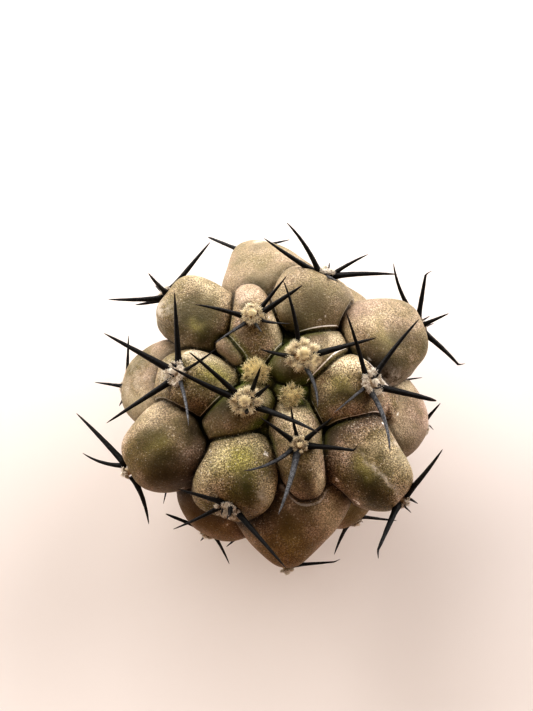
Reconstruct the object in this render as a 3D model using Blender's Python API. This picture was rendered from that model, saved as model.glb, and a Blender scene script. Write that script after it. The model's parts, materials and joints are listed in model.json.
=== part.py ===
"""A young copiapoa head, as picked: paired tubercles, black spines and cream areole wool.

It stands on the flat spot of its corky base, at z = 0, with its growing axis along +Z. Lengths are worked out
in millimetres and angles in degrees, and lengths are turned into metres where a mesh is made.
"""

import math
import random
from collections import namedtuple

import bmesh
import bpy
from mathutils import Matrix, Vector

MM = 0.001
SEED = 24
CLEARANCE = 0.3

# Stem
SKIN_FINENESS = 3
CORE_CENTRE = Vector((0.0, 0.0, 18.0))
CORE_RADII = Vector((18.0, 18.0, 14.0))
BASE_CENTRE = Vector((0.0, 0.0, 6.5))
BASE_RADII = Vector((12.5, 12.5, 9.5))
BASE_UNEVENNESS = 0.35

# A row holds the two opposite tubercles of one age, youngest first: the bearings of their areoles round the
# axis, the areoles' distance from the axis and height, the angle above the horizon that the tubercles face,
# how far round from the tubercle's far end towards the apex the areole sits, the tubercle's length, width,
# depth and squareness, and how far its depth and its width draw in towards the far end.
Pair = namedtuple("Pair", "bearings reach height facing seat length width depth square taper pinch")
PAIRS = (
    Pair((150, 318), 3.3, 34.8, 26, 60, 12.0, 4.4, 15.0, 2.4, 0.10, 0.10),
    Pair((43, 218), 5.6, 36.2, 34, 50, 13.0, 6.0, 15.0, 2.5, 0.10, 0.00),
    Pair((109, 290), 10.8, 36.6, 38, 46, 16.0, 8.6, 18.0, 2.8, 0.00, 0.00),
    Pair((175, 359), 15.3, 35.4, 36, 28, 13.5, 10.4, 13.0, 2.8, 0.10, 0.10),
    Pair((67, 249), 20.3, 31.8, 24, 4, 12.5, 11.8, 13.5, 3.0, 0.15, 0.10),
    Pair((137, 319), 25.0, 28.9, 4, 0, 12.5, 12.6, 13.0, 2.8, 0.15, 0.20),
    Pair((208, 26), 26.2, 26.6, -6, 0, 14.0, 13.5, 13.5, 2.8, 0.20, 0.25),
    Pair((100, 274), 26.8, 21.5, -16, 0, 17.0, 17.0, 14.5, 2.5, 0.20, 0.55),
    Pair((173, 351), 24.5, 19.5, -18, 0, 15.0, 16.0, 14.0, 2.7, 0.20, 0.30),
    Pair((242, 55), 23.2, 16.5, -24, 0, 15.0, 16.0, 13.0, 2.6, 0.20, 0.30),
    Pair((307, 129), 22.2, 12.0, -28, 0, 15.0, 14.0, 12.0, 2.6, 0.20, 0.30),
    Pair((18, 198), 19.0, 9.0, -32, 0, 14.0, 13.0, 11.0, 2.6, 0.20, 0.30),
    Pair((84, 266), 17.0, 6.5, -34, 0, 13.0, 12.5, 9.5, 2.6, 0.20, 0.30),
)
# The youngest tubercles are pushed aside by older ones, so each lies turned a little off its own bearing.
HEADINGS = {"0a": -5, "0b": 4, "1a": -14, "1b": -9, "2a": -13, "2b": -8, "3b": 4, "4a": 11, "4b": 4, "7b": 3}
# Where one of a pair has grown out further than the other, its areole's own distance from the axis
REACHES = {"3b": 14.8, "5a": 23.8, "5b": 26.4}
SIDES = "ab"

# Wool: the radius and height of the tuft for each age, with the last value for all older ones
WOOL_SIZES = ((2.3, 1.6), (2.8, 2.0), (1.9, 1.5), (2.1, 1.4), (2.1, 1.3), (1.8, 1.2))
WOOL_FINENESS = 2
WOOL_RAGGEDNESS = 0.27
WOOL_INTRUSION = 0.4

# Spines: bearing from above, rise above the horizon, length, and thickness at the foot
SPINES = {
    "1a": ((106, 25, 12.0, 0.9), (8, 20, 12.0, 1.2), (181, 30, 7.5, 0.9), (282, 30, 11.5, 0.9)),
    "1b": (
        (160, 24, 13.0, 1.2), (143, 28, 12.0, 1.0), (62, 40, 6.5, 0.9),
        (26, 40, 5.5, 0.9), (332, 20, 13.5, 1.1), (275, 30, 2.5, 0.9),
    ),
    "2a": (
        (180, 30, 10.0, 0.9), (45, 18, 8.0, 0.8), (23, 27, 9.5, 1.1),
        (336, 30, 7.5, 0.6), (227, 30, 9.5, 0.7), (292, 35, 5.0, 0.6),
    ),
    "2b": (
        (151, 30, 8.0, 0.9), (105, 35, 6.5, 0.6), (35, 30, 7.0, 0.9),
        (349, 20, 10.0, 1.0), (254, 25, 13.5, 1.1), (210, 25, 11.0, 0.8),
    ),
    "3a": (
        (150, 0, 12.5, 1.2), (88, 25, 12.5, 1.1), (15, 45, 10.5, 0.6),
        (220, 5, 13.0, 1.1), (286, 35, 13.0, 0.7),
    ),
    "3b": (
        (118, 40, 13.0, 0.9), (54, 10, 12.0, 1.1), (344, -5, 10.0, 1.2),
        (278, 25, 13.5, 1.0), (225, 40, 12.5, 0.6),
    ),
    "4a": (
        (161, 25, 11.5, 1.0), (145, 50, 12.0, 1.0), (11, 25, 7.5, 0.8),
        (348, 20, 12.0, 1.1), (291, 55, 8.0, 0.6),
    ),
    "4b": ((162, 45, 10.5, 0.9), (198, 0, 8.5, 0.8), (316, 10, 13.0, 1.1), (300, 65, 3.0, 0.9)),
    "5a": ((43, 15, 11.0, 1.0), (194, 12, 9.0, 1.0), (208, -5, 5.0, 0.8)),
    "5b": ((56, 36, 11.0, 1.0), (238, 18, 11.0, 1.1)),
    "6a": ((128, 0, 12.5, 1.1), (152, -4, 7.5, 0.8), (298, -30, 9.5, 1.0)),
    "6b": ((122, 28, 11.5, 0.9), (90, 32, 9.5, 1.0), (12, 45, 5.0, 0.8), (306, 5, 10.0, 1.1)),
    "7a": ((168, 0, 6.5, 0.7), (5, 5, 7.5, 0.7)),
    "7b": ((13, -10, 9.0, 0.7),),
    "8a": ((80, 30, 9.0, 0.7), (171, 10, 4.5, 0.7)),
    "8b": ((63, 30, 5.0, 0.7),),
    "9a": ((150, 5, 7.5, 0.7),),
}
SPINE_SIDES = 5
SPINE_RINGS = (0.35, 0.7)
SPINE_FULLNESS = 0.55
SPINE_BOW = 0.015
BOW_STEP = 2.4
SHARP_ANGLE = 40.0
FOOT_HEIGHT = 0.9
CUSHION_RADIUS = 1.1
CUSHION_FINENESS = 1
WOOL_NOTCH = 4.0

# The old areoles low on the body carry a few worn spines, which stay inside the body's widest ring, and clear
# of the floor, the skin and other spines.
WORN_AGE = 5
WORN_COUNT = 4
WORN_LEANS = (66, 56, 46)
WORN_LENGTH = (5.5, 8.5)
WORN_THICKNESS = (0.6, 0.9)
WORN_REACH = 27.5
FLOOR_GAP = 1.2
SPINE_GAP = 1.5
SKIN_GAP = 1.0
WORN_TURN_SCATTER = 12.0
CHECKED_SHARES = [step / 12 for step in range(4, 13)]

SKIN_COLOUR = (0.29, 0.26, 0.17, 1.0)
SPINE_COLOUR = (0.012, 0.011, 0.011, 1.0)
WOOL_COLOUR = (0.74, 0.62, 0.38, 1.0)

Tubercle = namedtuple("Tubercle", "name age bearing heading reach size")


def tubercles():
    """Every tubercle of the head, youngest first."""
    found = []
    for age, pair in enumerate(PAIRS):
        for side, bearing in zip(SIDES, pair.bearings):
            name = f"{age}{side}"
            heading = bearing + HEADINGS.get(name, 0)
            found.append(Tubercle(name, age, bearing, heading, REACHES.get(name, pair.reach), pair))
    return found


def direction(bearing, rise):
    """A unit vector with this bearing round +Z and this rise above the horizon."""
    level = math.cos(math.radians(rise))
    turn = math.radians(bearing)
    return Vector((level * math.cos(turn), level * math.sin(turn), math.sin(math.radians(rise))))


def axes(tubercle):
    """The tubercle's own axes: along it, across it, and towards the apex."""
    along = direction(tubercle.heading, tubercle.size.facing)
    across = direction(tubercle.heading + 90, 0)
    return along, across, along.cross(across)


def areole(tubercle):
    """The place of the areole, where the wool and the spines grow."""
    level = direction(tubercle.bearing, 0) * tubercle.reach
    return level + Vector((0.0, 0.0, tubercle.size.height))


def swollen(tubercle, toward, grow=0.0):
    """The point of a squarish swollen body in a direction from its centre, in the tubercle's own axes."""
    size = tubercle.size
    squareness = sum(abs(part) ** size.square for part in toward) ** (1 / size.square)
    along, across, up = toward / squareness
    return Vector((
        (size.length / 2 + grow) * along,
        (size.width / 2 + grow) * across * (1 - size.pinch * along),
        (size.depth / 2 + grow) * up * (1 - size.taper * along),
    ))


def in_world(tubercle, local):
    """A vector given in the tubercle's own axes, turned into the part's axes."""
    along, across, up = axes(tubercle)
    return along * local.x + across * local.y + up * local.z


def centre(tubercle):
    """The tubercle's centre, which puts its areole on its surface."""
    seat = math.radians(tubercle.size.seat)
    toward = Vector((math.cos(seat), 0.0, math.sin(seat)))
    return areole(tubercle) - in_world(tubercle, swollen(tubercle, toward))


def depth_in(tubercle, point):
    """Below 1 inside the tubercle, and above 1 outside it."""
    size = tubercle.size
    offset = point - centre(tubercle)
    along, across, up = (offset.dot(axis) for axis in axes(tubercle))
    along /= size.length / 2
    end = max(-1.0, min(1.0, along))
    across /= size.width / 2 * (1 - size.pinch * end)
    up /= size.depth / 2 * (1 - size.taper * end)
    return sum(abs(part) ** size.square for part in (along, across, up)) ** (1 / size.square)


def gap_to(tubercle, point):
    """About how far a point lies outside the tubercle's surface."""
    depth = depth_in(tubercle, point)
    return (point - centre(tubercle)).length * (1 - 1 / depth)


def facing_out(tubercle):
    """The direction straight out of the skin at the areole, by the steepest rise of depth_in."""
    place = areole(tubercle)
    step = 0.01
    slopes = []
    for axis in (Vector((step, 0, 0)), Vector((0, step, 0)), Vector((0, 0, step))):
        slopes.append(depth_in(tubercle, place + axis) - depth_in(tubercle, place - axis))
    return Vector(slopes).normalized()


def material(name, colour, roughness):
    """A Principled BSDF of one colour."""
    made = bpy.data.materials.new(name)
    made.use_nodes = True
    shader = made.node_tree.nodes["Principled BSDF"]
    shader.inputs["Base Color"].default_value = colour
    shader.inputs["Roughness"].default_value = roughness
    shader.inputs["Metallic"].default_value = 0.0
    made.diffuse_color = colour
    return made


def add_object(name, bm, coating=None):
    """A mesh object from a bmesh in millimetres."""
    bmesh.ops.scale(bm, vec=(MM, MM, MM), verts=bm.verts)
    bmesh.ops.recalc_face_normals(bm, faces=bm.faces)
    mesh = bpy.data.meshes.new(name)
    bm.to_mesh(mesh)
    bm.free()
    made = bpy.data.objects.new(name, mesh)
    bpy.context.scene.collection.objects.link(made)
    if coating:
        mesh.materials.append(coating)
    return made


def combine(made, operation, others):
    """Applies one Boolean of made with all the other objects, then removes those."""
    group = bpy.data.collections.new("others")
    bpy.context.scene.collection.children.link(group)
    for other in others:
        group.objects.link(other)
    modifier = made.modifiers.new(operation.title(), "BOOLEAN")
    modifier.operation = operation
    modifier.operand_type = "COLLECTION"
    modifier.collection = group
    applied = bpy.data.meshes.new_from_object(made.evaluated_get(bpy.context.evaluated_depsgraph_get()))
    made.modifiers.remove(modifier)
    old = made.data
    made.data = applied
    bpy.data.meshes.remove(old)
    applied.name = made.name
    for other in others:
        mesh = other.data
        bpy.data.objects.remove(other)
        bpy.data.meshes.remove(mesh)
    bpy.data.collections.remove(group)


def skin_area(vertices):
    """The area of the faces that these vertices hold."""
    faces = {face for vertex in vertices for face in vertex.link_faces}
    return sum(face.calc_area() for face in faces)


def keep_largest_body(made):
    """Drops the loose scraps that a cut leaves."""
    bm = bmesh.new()
    bm.from_mesh(made.data)
    waiting = set(bm.verts)
    bodies = []
    while waiting:
        body = set()
        edge_of_body = [waiting.pop()]
        while edge_of_body:
            vertex = edge_of_body.pop()
            body.add(vertex)
            for edge in vertex.link_edges:
                other = edge.other_vert(vertex)
                if other in waiting:
                    waiting.remove(other)
                    edge_of_body.append(other)
        bodies.append(body)
    largest = max(bodies, key=skin_area)
    bmesh.ops.delete(bm, geom=[vertex for vertex in bm.verts if vertex not in largest], context="VERTS")
    bm.to_mesh(made.data)
    bm.free()


def cut_flat(bm, point, keep_toward):
    """Cuts a closed shape off at a plane and closes the cut with one flat face."""
    everything = [*bm.verts, *bm.edges, *bm.faces]
    cut = bmesh.ops.bisect_plane(bm, geom=everything, plane_co=point, plane_no=keep_toward, clear_inner=True)
    rim = [part for part in cut["geom_cut"] if isinstance(part, bmesh.types.BMEdge)]
    bmesh.ops.contextual_create(bm, geom=rim)


def tubercle_object(tubercle, coating, grow=0.0):
    """One swollen tubercle, or the room round it."""
    bm = bmesh.new()
    bmesh.ops.create_icosphere(bm, subdivisions=SKIN_FINENESS, radius=1.0)
    middle = centre(tubercle)
    for vertex in bm.verts:
        vertex.co = middle + in_world(tubercle, swollen(tubercle, vertex.co, grow))
    return add_object(f"tubercle_{tubercle.name}", bm, coating)


def base_object(coating):
    """The dry corky base: an uneven squat dome, cut off flat underneath."""
    dice = random.Random(SEED)
    bm = bmesh.new()
    bmesh.ops.create_icosphere(bm, subdivisions=SKIN_FINENESS, radius=1.0)
    for vertex in bm.verts:
        uneven = 1 + dice.uniform(-BASE_UNEVENNESS, BASE_UNEVENNESS) / BASE_RADII.x
        vertex.co = BASE_CENTRE + vertex.co * BASE_RADII * uneven
    cut_flat(bm, Vector((0.0, 0.0, 0.0)), Vector((0.0, 0.0, 1.0)))
    return add_object("base", bm, coating)


def build_stem(every, skin):
    """The body: the flesh inside, the tubercles all round it and the corky base, fused to one solid."""
    bm = bmesh.new()
    bmesh.ops.create_icosphere(bm, subdivisions=SKIN_FINENESS, radius=1.0)
    bmesh.ops.scale(bm, vec=CORE_RADII, verts=bm.verts)
    bmesh.ops.translate(bm, vec=CORE_CENTRE, verts=bm.verts)
    stem = add_object("stem", bm, skin)
    parts = [tubercle_object(tubercle, skin) for tubercle in every]
    parts.append(base_object(skin))
    combine(stem, "UNION", parts)
    stem.data.shade_smooth()
    stem.data.set_sharp_from_angle(angle=math.radians(SHARP_ANGLE))


def spine_object(name, foot, toward, length, thickness, bow, coating):
    """A spine: a cone that stays full for most of its length, then runs to a point, and bows a little."""
    bm = bmesh.new()
    bmesh.ops.create_cone(
        bm, cap_ends=True, segments=SPINE_SIDES, radius1=1.0, radius2=0.0, depth=1.0,
        matrix=Matrix.Translation((0.0, 0.0, 0.5)),
    )
    for share in SPINE_RINGS:
        everything = [*bm.verts, *bm.edges, *bm.faces]
        bmesh.ops.bisect_plane(bm, geom=everything, plane_co=(0, 0, share), plane_no=(0, 0, 1))
    turn = toward.to_track_quat("Z", "Y")
    for vertex in bm.verts:
        share = vertex.co.z
        fullness = 0.0 if share > 0.999 else (1 - share) ** SPINE_FULLNESS / (1 - share)
        radius = fullness * thickness / 2
        shaped = Vector((vertex.co.x * radius, vertex.co.y * radius, share * length))
        shaped.x += 4 * bow * length * share * (1 - share)
        vertex.co = foot + turn @ shaped
    return add_object(name, bm, coating)


def notch_object(foot, toward, thickness):
    """The room that the wool leaves round the foot of a spine: a straight prism."""
    radius = thickness / 2 + CLEARANCE
    turn = toward.to_track_quat("Z", "Y").to_matrix().to_4x4()
    bm = bmesh.new()
    bmesh.ops.create_cone(
        bm, cap_ends=True, segments=SPINE_SIDES, radius1=radius, radius2=radius, depth=WOOL_NOTCH,
        matrix=Matrix.Translation(foot + toward * WOOL_NOTCH / 2) @ turn,
    )
    return add_object("notch", bm)


def nearest_gap(first, second):
    """The smallest distance between two spines, taken as straight lines from foot to tip."""
    closest = math.inf
    along = second[1] - second[0]
    for share in CHECKED_SHARES:
        point = first[0].lerp(first[1], share)
        share = (point - second[0]).dot(along) / along.length_squared
        share = max(CHECKED_SHARES[0], min(1.0, share))
        closest = min(closest, (point - second[0] - along * share).length)
    return closest


def lies_clear(foot, tip, every, others):
    """Whether a spine stays off the skin, the floor and the other spines."""
    if tip.z < FLOOR_GAP or tip.xy.length > WORN_REACH:
        return False
    for share in CHECKED_SHARES:
        point = foot.lerp(tip, share)
        if any(gap_to(tubercle, point) < SKIN_GAP for tubercle in every):
            return False
    return all(nearest_gap((foot, tip), other) > SPINE_GAP for other in others)


def worn_spines(tubercle, every, placed, dice):
    """The worn spines of an old areole, drawn until they lie clear, each (direction, length, thickness)."""
    out = facing_out(tubercle)
    foot = areole(tubercle) + out * FOOT_HEIGHT
    side = out.cross(Vector((0.0, 0.0, 1.0))).normalized()
    found = []
    first_turn = dice.uniform(0, 360)
    for number in range(WORN_COUNT):
        turn = first_turn + 360 / WORN_COUNT * number + dice.uniform(-WORN_TURN_SCATTER, WORN_TURN_SCATTER)
        length = dice.uniform(*WORN_LENGTH)
        thickness = dice.uniform(*WORN_THICKNESS)
        around = Matrix.Rotation(math.radians(turn), 3, out) @ side
        for lean in WORN_LEANS:
            toward = out * math.cos(math.radians(lean)) + around * math.sin(math.radians(lean))
            tip = foot + toward * length
            if lies_clear(foot, tip, every, placed):
                found.append((toward, length, thickness))
                placed.append((foot, tip))
                break
    return found


def plan_spines(every):
    """For each tubercle its spines, each (direction, length, thickness): the listed, then the worn ones."""
    dice = random.Random(SEED)
    plans = {}
    placed = []
    for tubercle in every:
        foot = areole(tubercle) + facing_out(tubercle) * FOOT_HEIGHT
        plan = []
        for bearing, rise, length, thickness in SPINES.get(tubercle.name, ()):
            toward = direction(bearing, rise)
            plan.append((toward, length, thickness))
            placed.append((foot, foot + toward * length))
        plans[tubercle.name] = plan
    for tubercle in every:
        if tubercle.age >= WORN_AGE:
            plans[tubercle.name] += worn_spines(tubercle, every, placed, dice)
    return plans


def cushion_mesh(foot, grow=0.0):
    """The woody cushion round the feet of the spines, or the room round it."""
    bm = bmesh.new()
    bmesh.ops.create_icosphere(
        bm, subdivisions=CUSHION_FINENESS, radius=CUSHION_RADIUS + grow, matrix=Matrix.Translation(foot)
    )
    return bm


def build_spines(tubercle, plan, black):
    """The spines of one areole on their small woody cushion, which stops just above the skin."""
    out = facing_out(tubercle)
    foot = areole(tubercle) + out * FOOT_HEIGHT
    bm = cushion_mesh(foot)
    cut_flat(bm, areole(tubercle) + out * CLEARANCE, out)
    cushion = add_object(f"spines_{tubercle.name}", bm, black)
    spines = []
    for number, (toward, length, thickness) in enumerate(plan):
        bow = SPINE_BOW * math.sin(BOW_STEP * number + tubercle.age)
        spines.append(spine_object(f"spine_{number}", foot, toward, length, thickness, bow, black))
    combine(cushion, "UNION", spines)


def build_wool(tubercle, plan, every, cream):
    """The ragged tuft of wool of one areole, with room for the cushion, the spines and the skin below."""
    radius, height = WOOL_SIZES[min(tubercle.age, len(WOOL_SIZES) - 1)]
    dice = random.Random(tubercle.name)
    place = areole(tubercle)
    out = facing_out(tubercle)
    turn = out.to_track_quat("Z", "Y")
    bm = bmesh.new()
    bmesh.ops.create_icosphere(bm, subdivisions=WOOL_FINENESS, radius=1.0)
    for vertex in bm.verts:
        ragged = 1 + dice.uniform(-WOOL_RAGGEDNESS, WOOL_RAGGEDNESS)
        shaped = Vector((vertex.co.x * radius, vertex.co.y * radius, vertex.co.z * height)) * ragged
        vertex.co = place + turn @ shaped
    cut_flat(bm, place + out * CLEARANCE, out)
    wool = add_object(f"wool_{tubercle.name}", bm, cream)
    cutters = []
    for other in every:
        if other is not tubercle and gap_to(other, place + out * CLEARANCE) < radius + WOOL_INTRUSION:
            cutters.append(tubercle_object(other, None, CLEARANCE))
    foot = place + out * FOOT_HEIGHT
    if plan:
        cutters.append(add_object("cushion_room", cushion_mesh(foot, CLEARANCE)))
    for toward, _, thickness in plan:
        cutters.append(notch_object(foot, toward, thickness))
    if cutters:
        combine(wool, "DIFFERENCE", cutters)
        keep_largest_body(wool)


def main():
    for old in list(bpy.data.objects):
        bpy.data.objects.remove(old)
    skin = material("cactus skin", SKIN_COLOUR, 0.6)
    black = material("black spine", SPINE_COLOUR, 0.45)
    cream = material("areole wool", WOOL_COLOUR, 0.95)
    every = tubercles()
    plans = plan_spines(every)
    build_stem(every, skin)
    for tubercle in every:
        plan = plans[tubercle.name]
        if plan:
            build_spines(tubercle, plan, black)
        build_wool(tubercle, plan, every, cream)


main()
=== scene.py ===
"""The looks of a young copiapoa head: swollen skin, black spines and cream areole wool, on a plain stage."""

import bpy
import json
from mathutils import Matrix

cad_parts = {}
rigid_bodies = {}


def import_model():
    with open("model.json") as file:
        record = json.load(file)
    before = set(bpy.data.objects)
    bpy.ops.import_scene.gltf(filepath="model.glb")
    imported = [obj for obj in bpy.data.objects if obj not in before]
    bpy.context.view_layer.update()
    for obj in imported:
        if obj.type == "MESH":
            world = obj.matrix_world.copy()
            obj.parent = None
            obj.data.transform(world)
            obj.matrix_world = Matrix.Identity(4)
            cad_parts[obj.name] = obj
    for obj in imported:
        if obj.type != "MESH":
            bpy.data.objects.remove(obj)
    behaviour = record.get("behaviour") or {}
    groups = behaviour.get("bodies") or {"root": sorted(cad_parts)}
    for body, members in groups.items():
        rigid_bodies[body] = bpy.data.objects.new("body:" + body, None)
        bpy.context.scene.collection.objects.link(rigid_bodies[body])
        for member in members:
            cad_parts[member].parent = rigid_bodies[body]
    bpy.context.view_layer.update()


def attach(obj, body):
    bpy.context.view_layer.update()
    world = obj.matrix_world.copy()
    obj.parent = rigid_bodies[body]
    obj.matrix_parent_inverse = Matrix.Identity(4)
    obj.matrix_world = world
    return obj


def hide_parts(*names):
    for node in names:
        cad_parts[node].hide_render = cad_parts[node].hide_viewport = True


bl_info = {
    "name": "Copiapoa Head",
    "version": (1, 0, 0),
    "blender": (4, 5, 0),
    "location": "View3D > Sidebar > Copiapoa",
    "description": "Grows the skin, the spines and the wool of a copiapoa head, and sets its stage",
    "category": "Add Mesh",
}

import json
import math
import random
from collections import namedtuple

import bmesh
import bpy
import numpy as np
from bpy.props import FloatProperty, FloatVectorProperty, IntProperty, PointerProperty
from mathutils import Matrix, Vector

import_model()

MM = 0.001
TINY = 1e-6
# How far from a point the slope of its surface is measured
SLOPE_STEP = 0.01
UPWARD = np.array((0.0, 0.0, 1.0))
SEED = 24
BODY = "root"

# The growth plan. A row holds the two opposite tubercles of one age, youngest first: the bearings of their
# areoles round the axis, the areoles' distance from the axis and height, the angle above the horizon that the
# tubercles face, how far round from the tubercle's far end towards the apex the areole sits, the tubercle's
# length, width, depth and squareness, and how far its depth and its width draw in towards the far end.
Pair = namedtuple("Pair", "bearings reach height facing seat length width depth square taper pinch")
PAIRS = (
    Pair((150, 318), 3.3, 34.8, 26, 60, 12.0, 4.4, 15.0, 2.4, 0.10, 0.10),
    Pair((43, 218), 5.6, 36.2, 34, 50, 13.0, 6.0, 15.0, 2.5, 0.10, 0.00),
    Pair((109, 290), 10.8, 36.6, 38, 46, 16.0, 8.6, 18.0, 2.8, 0.00, 0.00),
    Pair((175, 359), 15.3, 35.4, 36, 28, 13.5, 10.4, 13.0, 2.8, 0.10, 0.10),
    Pair((67, 249), 20.3, 31.8, 24, 4, 12.5, 11.8, 13.5, 3.0, 0.15, 0.10),
    Pair((137, 319), 25.0, 28.9, 4, 0, 12.5, 12.6, 13.0, 2.8, 0.15, 0.20),
    Pair((208, 26), 26.2, 26.6, -6, 0, 14.0, 13.5, 13.5, 2.8, 0.20, 0.25),
    Pair((100, 274), 26.8, 21.5, -16, 0, 17.0, 17.0, 14.5, 2.5, 0.20, 0.55),
    Pair((173, 351), 24.5, 19.5, -18, 0, 15.0, 16.0, 14.0, 2.7, 0.20, 0.30),
    Pair((242, 55), 23.2, 16.5, -24, 0, 15.0, 16.0, 13.0, 2.6, 0.20, 0.30),
    Pair((307, 129), 22.2, 12.0, -28, 0, 15.0, 14.0, 12.0, 2.6, 0.20, 0.30),
    Pair((18, 198), 19.0, 9.0, -32, 0, 14.0, 13.0, 11.0, 2.6, 0.20, 0.30),
    Pair((84, 266), 17.0, 6.5, -34, 0, 13.0, 12.5, 9.5, 2.6, 0.20, 0.30),
)
HEADINGS = {"0a": -5, "0b": 4, "1a": -14, "1b": -9, "2a": -13, "2b": -8, "3b": 4, "4a": 11, "4b": 4, "7b": 3}
REACHES = {"3b": 14.8, "5a": 23.8, "5b": 26.4}
SIDES = "ab"
CORE_CENTRE = np.array((0.0, 0.0, 18.0))
CORE_RADII = np.array((18.0, 18.0, 14.0))
BASE_CENTRE = np.array((0.0, 0.0, 6.5))
BASE_RADII = np.array((12.5, 12.5, 9.5))

# Where a tubercle has grown away from the plan, pressed by its neighbours: its own sizes, with turn for the
# degrees that it heads away from its bearing
GROWN = {
    "1a": {"seat": 94, "length": 15.5, "facing": 4, "width": 8.4},
    "1b": {"seat": 92, "length": 13.5, "facing": 9, "width": 8.2, "turn": 6},
    "2a": {
        "facing": 20, "seat": 66, "length": 16.5, "width": 9.8, "depth": 16.0, "pinch": 0.3, "square": 2.5,
    },
    "2b": {"facing": 22, "seat": 64, "length": 20.6, "pinch": 0.15, "width": 9.4},
    "3a": {"pinch": -0.1, "length": 14.8, "turn": -7},
    "3b": {"length": 12.8, "width": 12.0, "turn": -1},
    "4a": {"turn": -14, "length": 10.6, "width": 12.6, "square": 3.2, "pinch": 0.0},
    "4b": {"pinch": -0.15, "width": 12.8},
    "5a": {"turn": 6, "width": 11.8, "square": 3.0, "pinch": 0.1, "length": 13.5},
    "5b": {"turn": -4, "square": 3.0, "pinch": 0.3, "width": 12.6, "length": 16.0},
    "6b": {"square": 3.0, "width": 14.2},
    "7a": {"turn": 13, "width": 15.6, "length": 17.0, "pinch": 0.5},
    "7b": {"turn": -8, "width": 18.0},
    "9a": {"width": 18.0},
}
# A fold of skin squeezed up between three tubercles: its middle, bearing, half sizes, squareness and age
FOLD_CENTRE = np.array((-6.8, 5.4, 32.2))
FOLD_BEARING = -41
FOLD_RADII = np.array((3.1, 1.5, 2.6))
FOLD_SQUARE = 3.0
FOLD_AGE = 3
# The flesh swells further up between the tubercles than the plan's core
CORE_SWELL = 1.5

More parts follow.
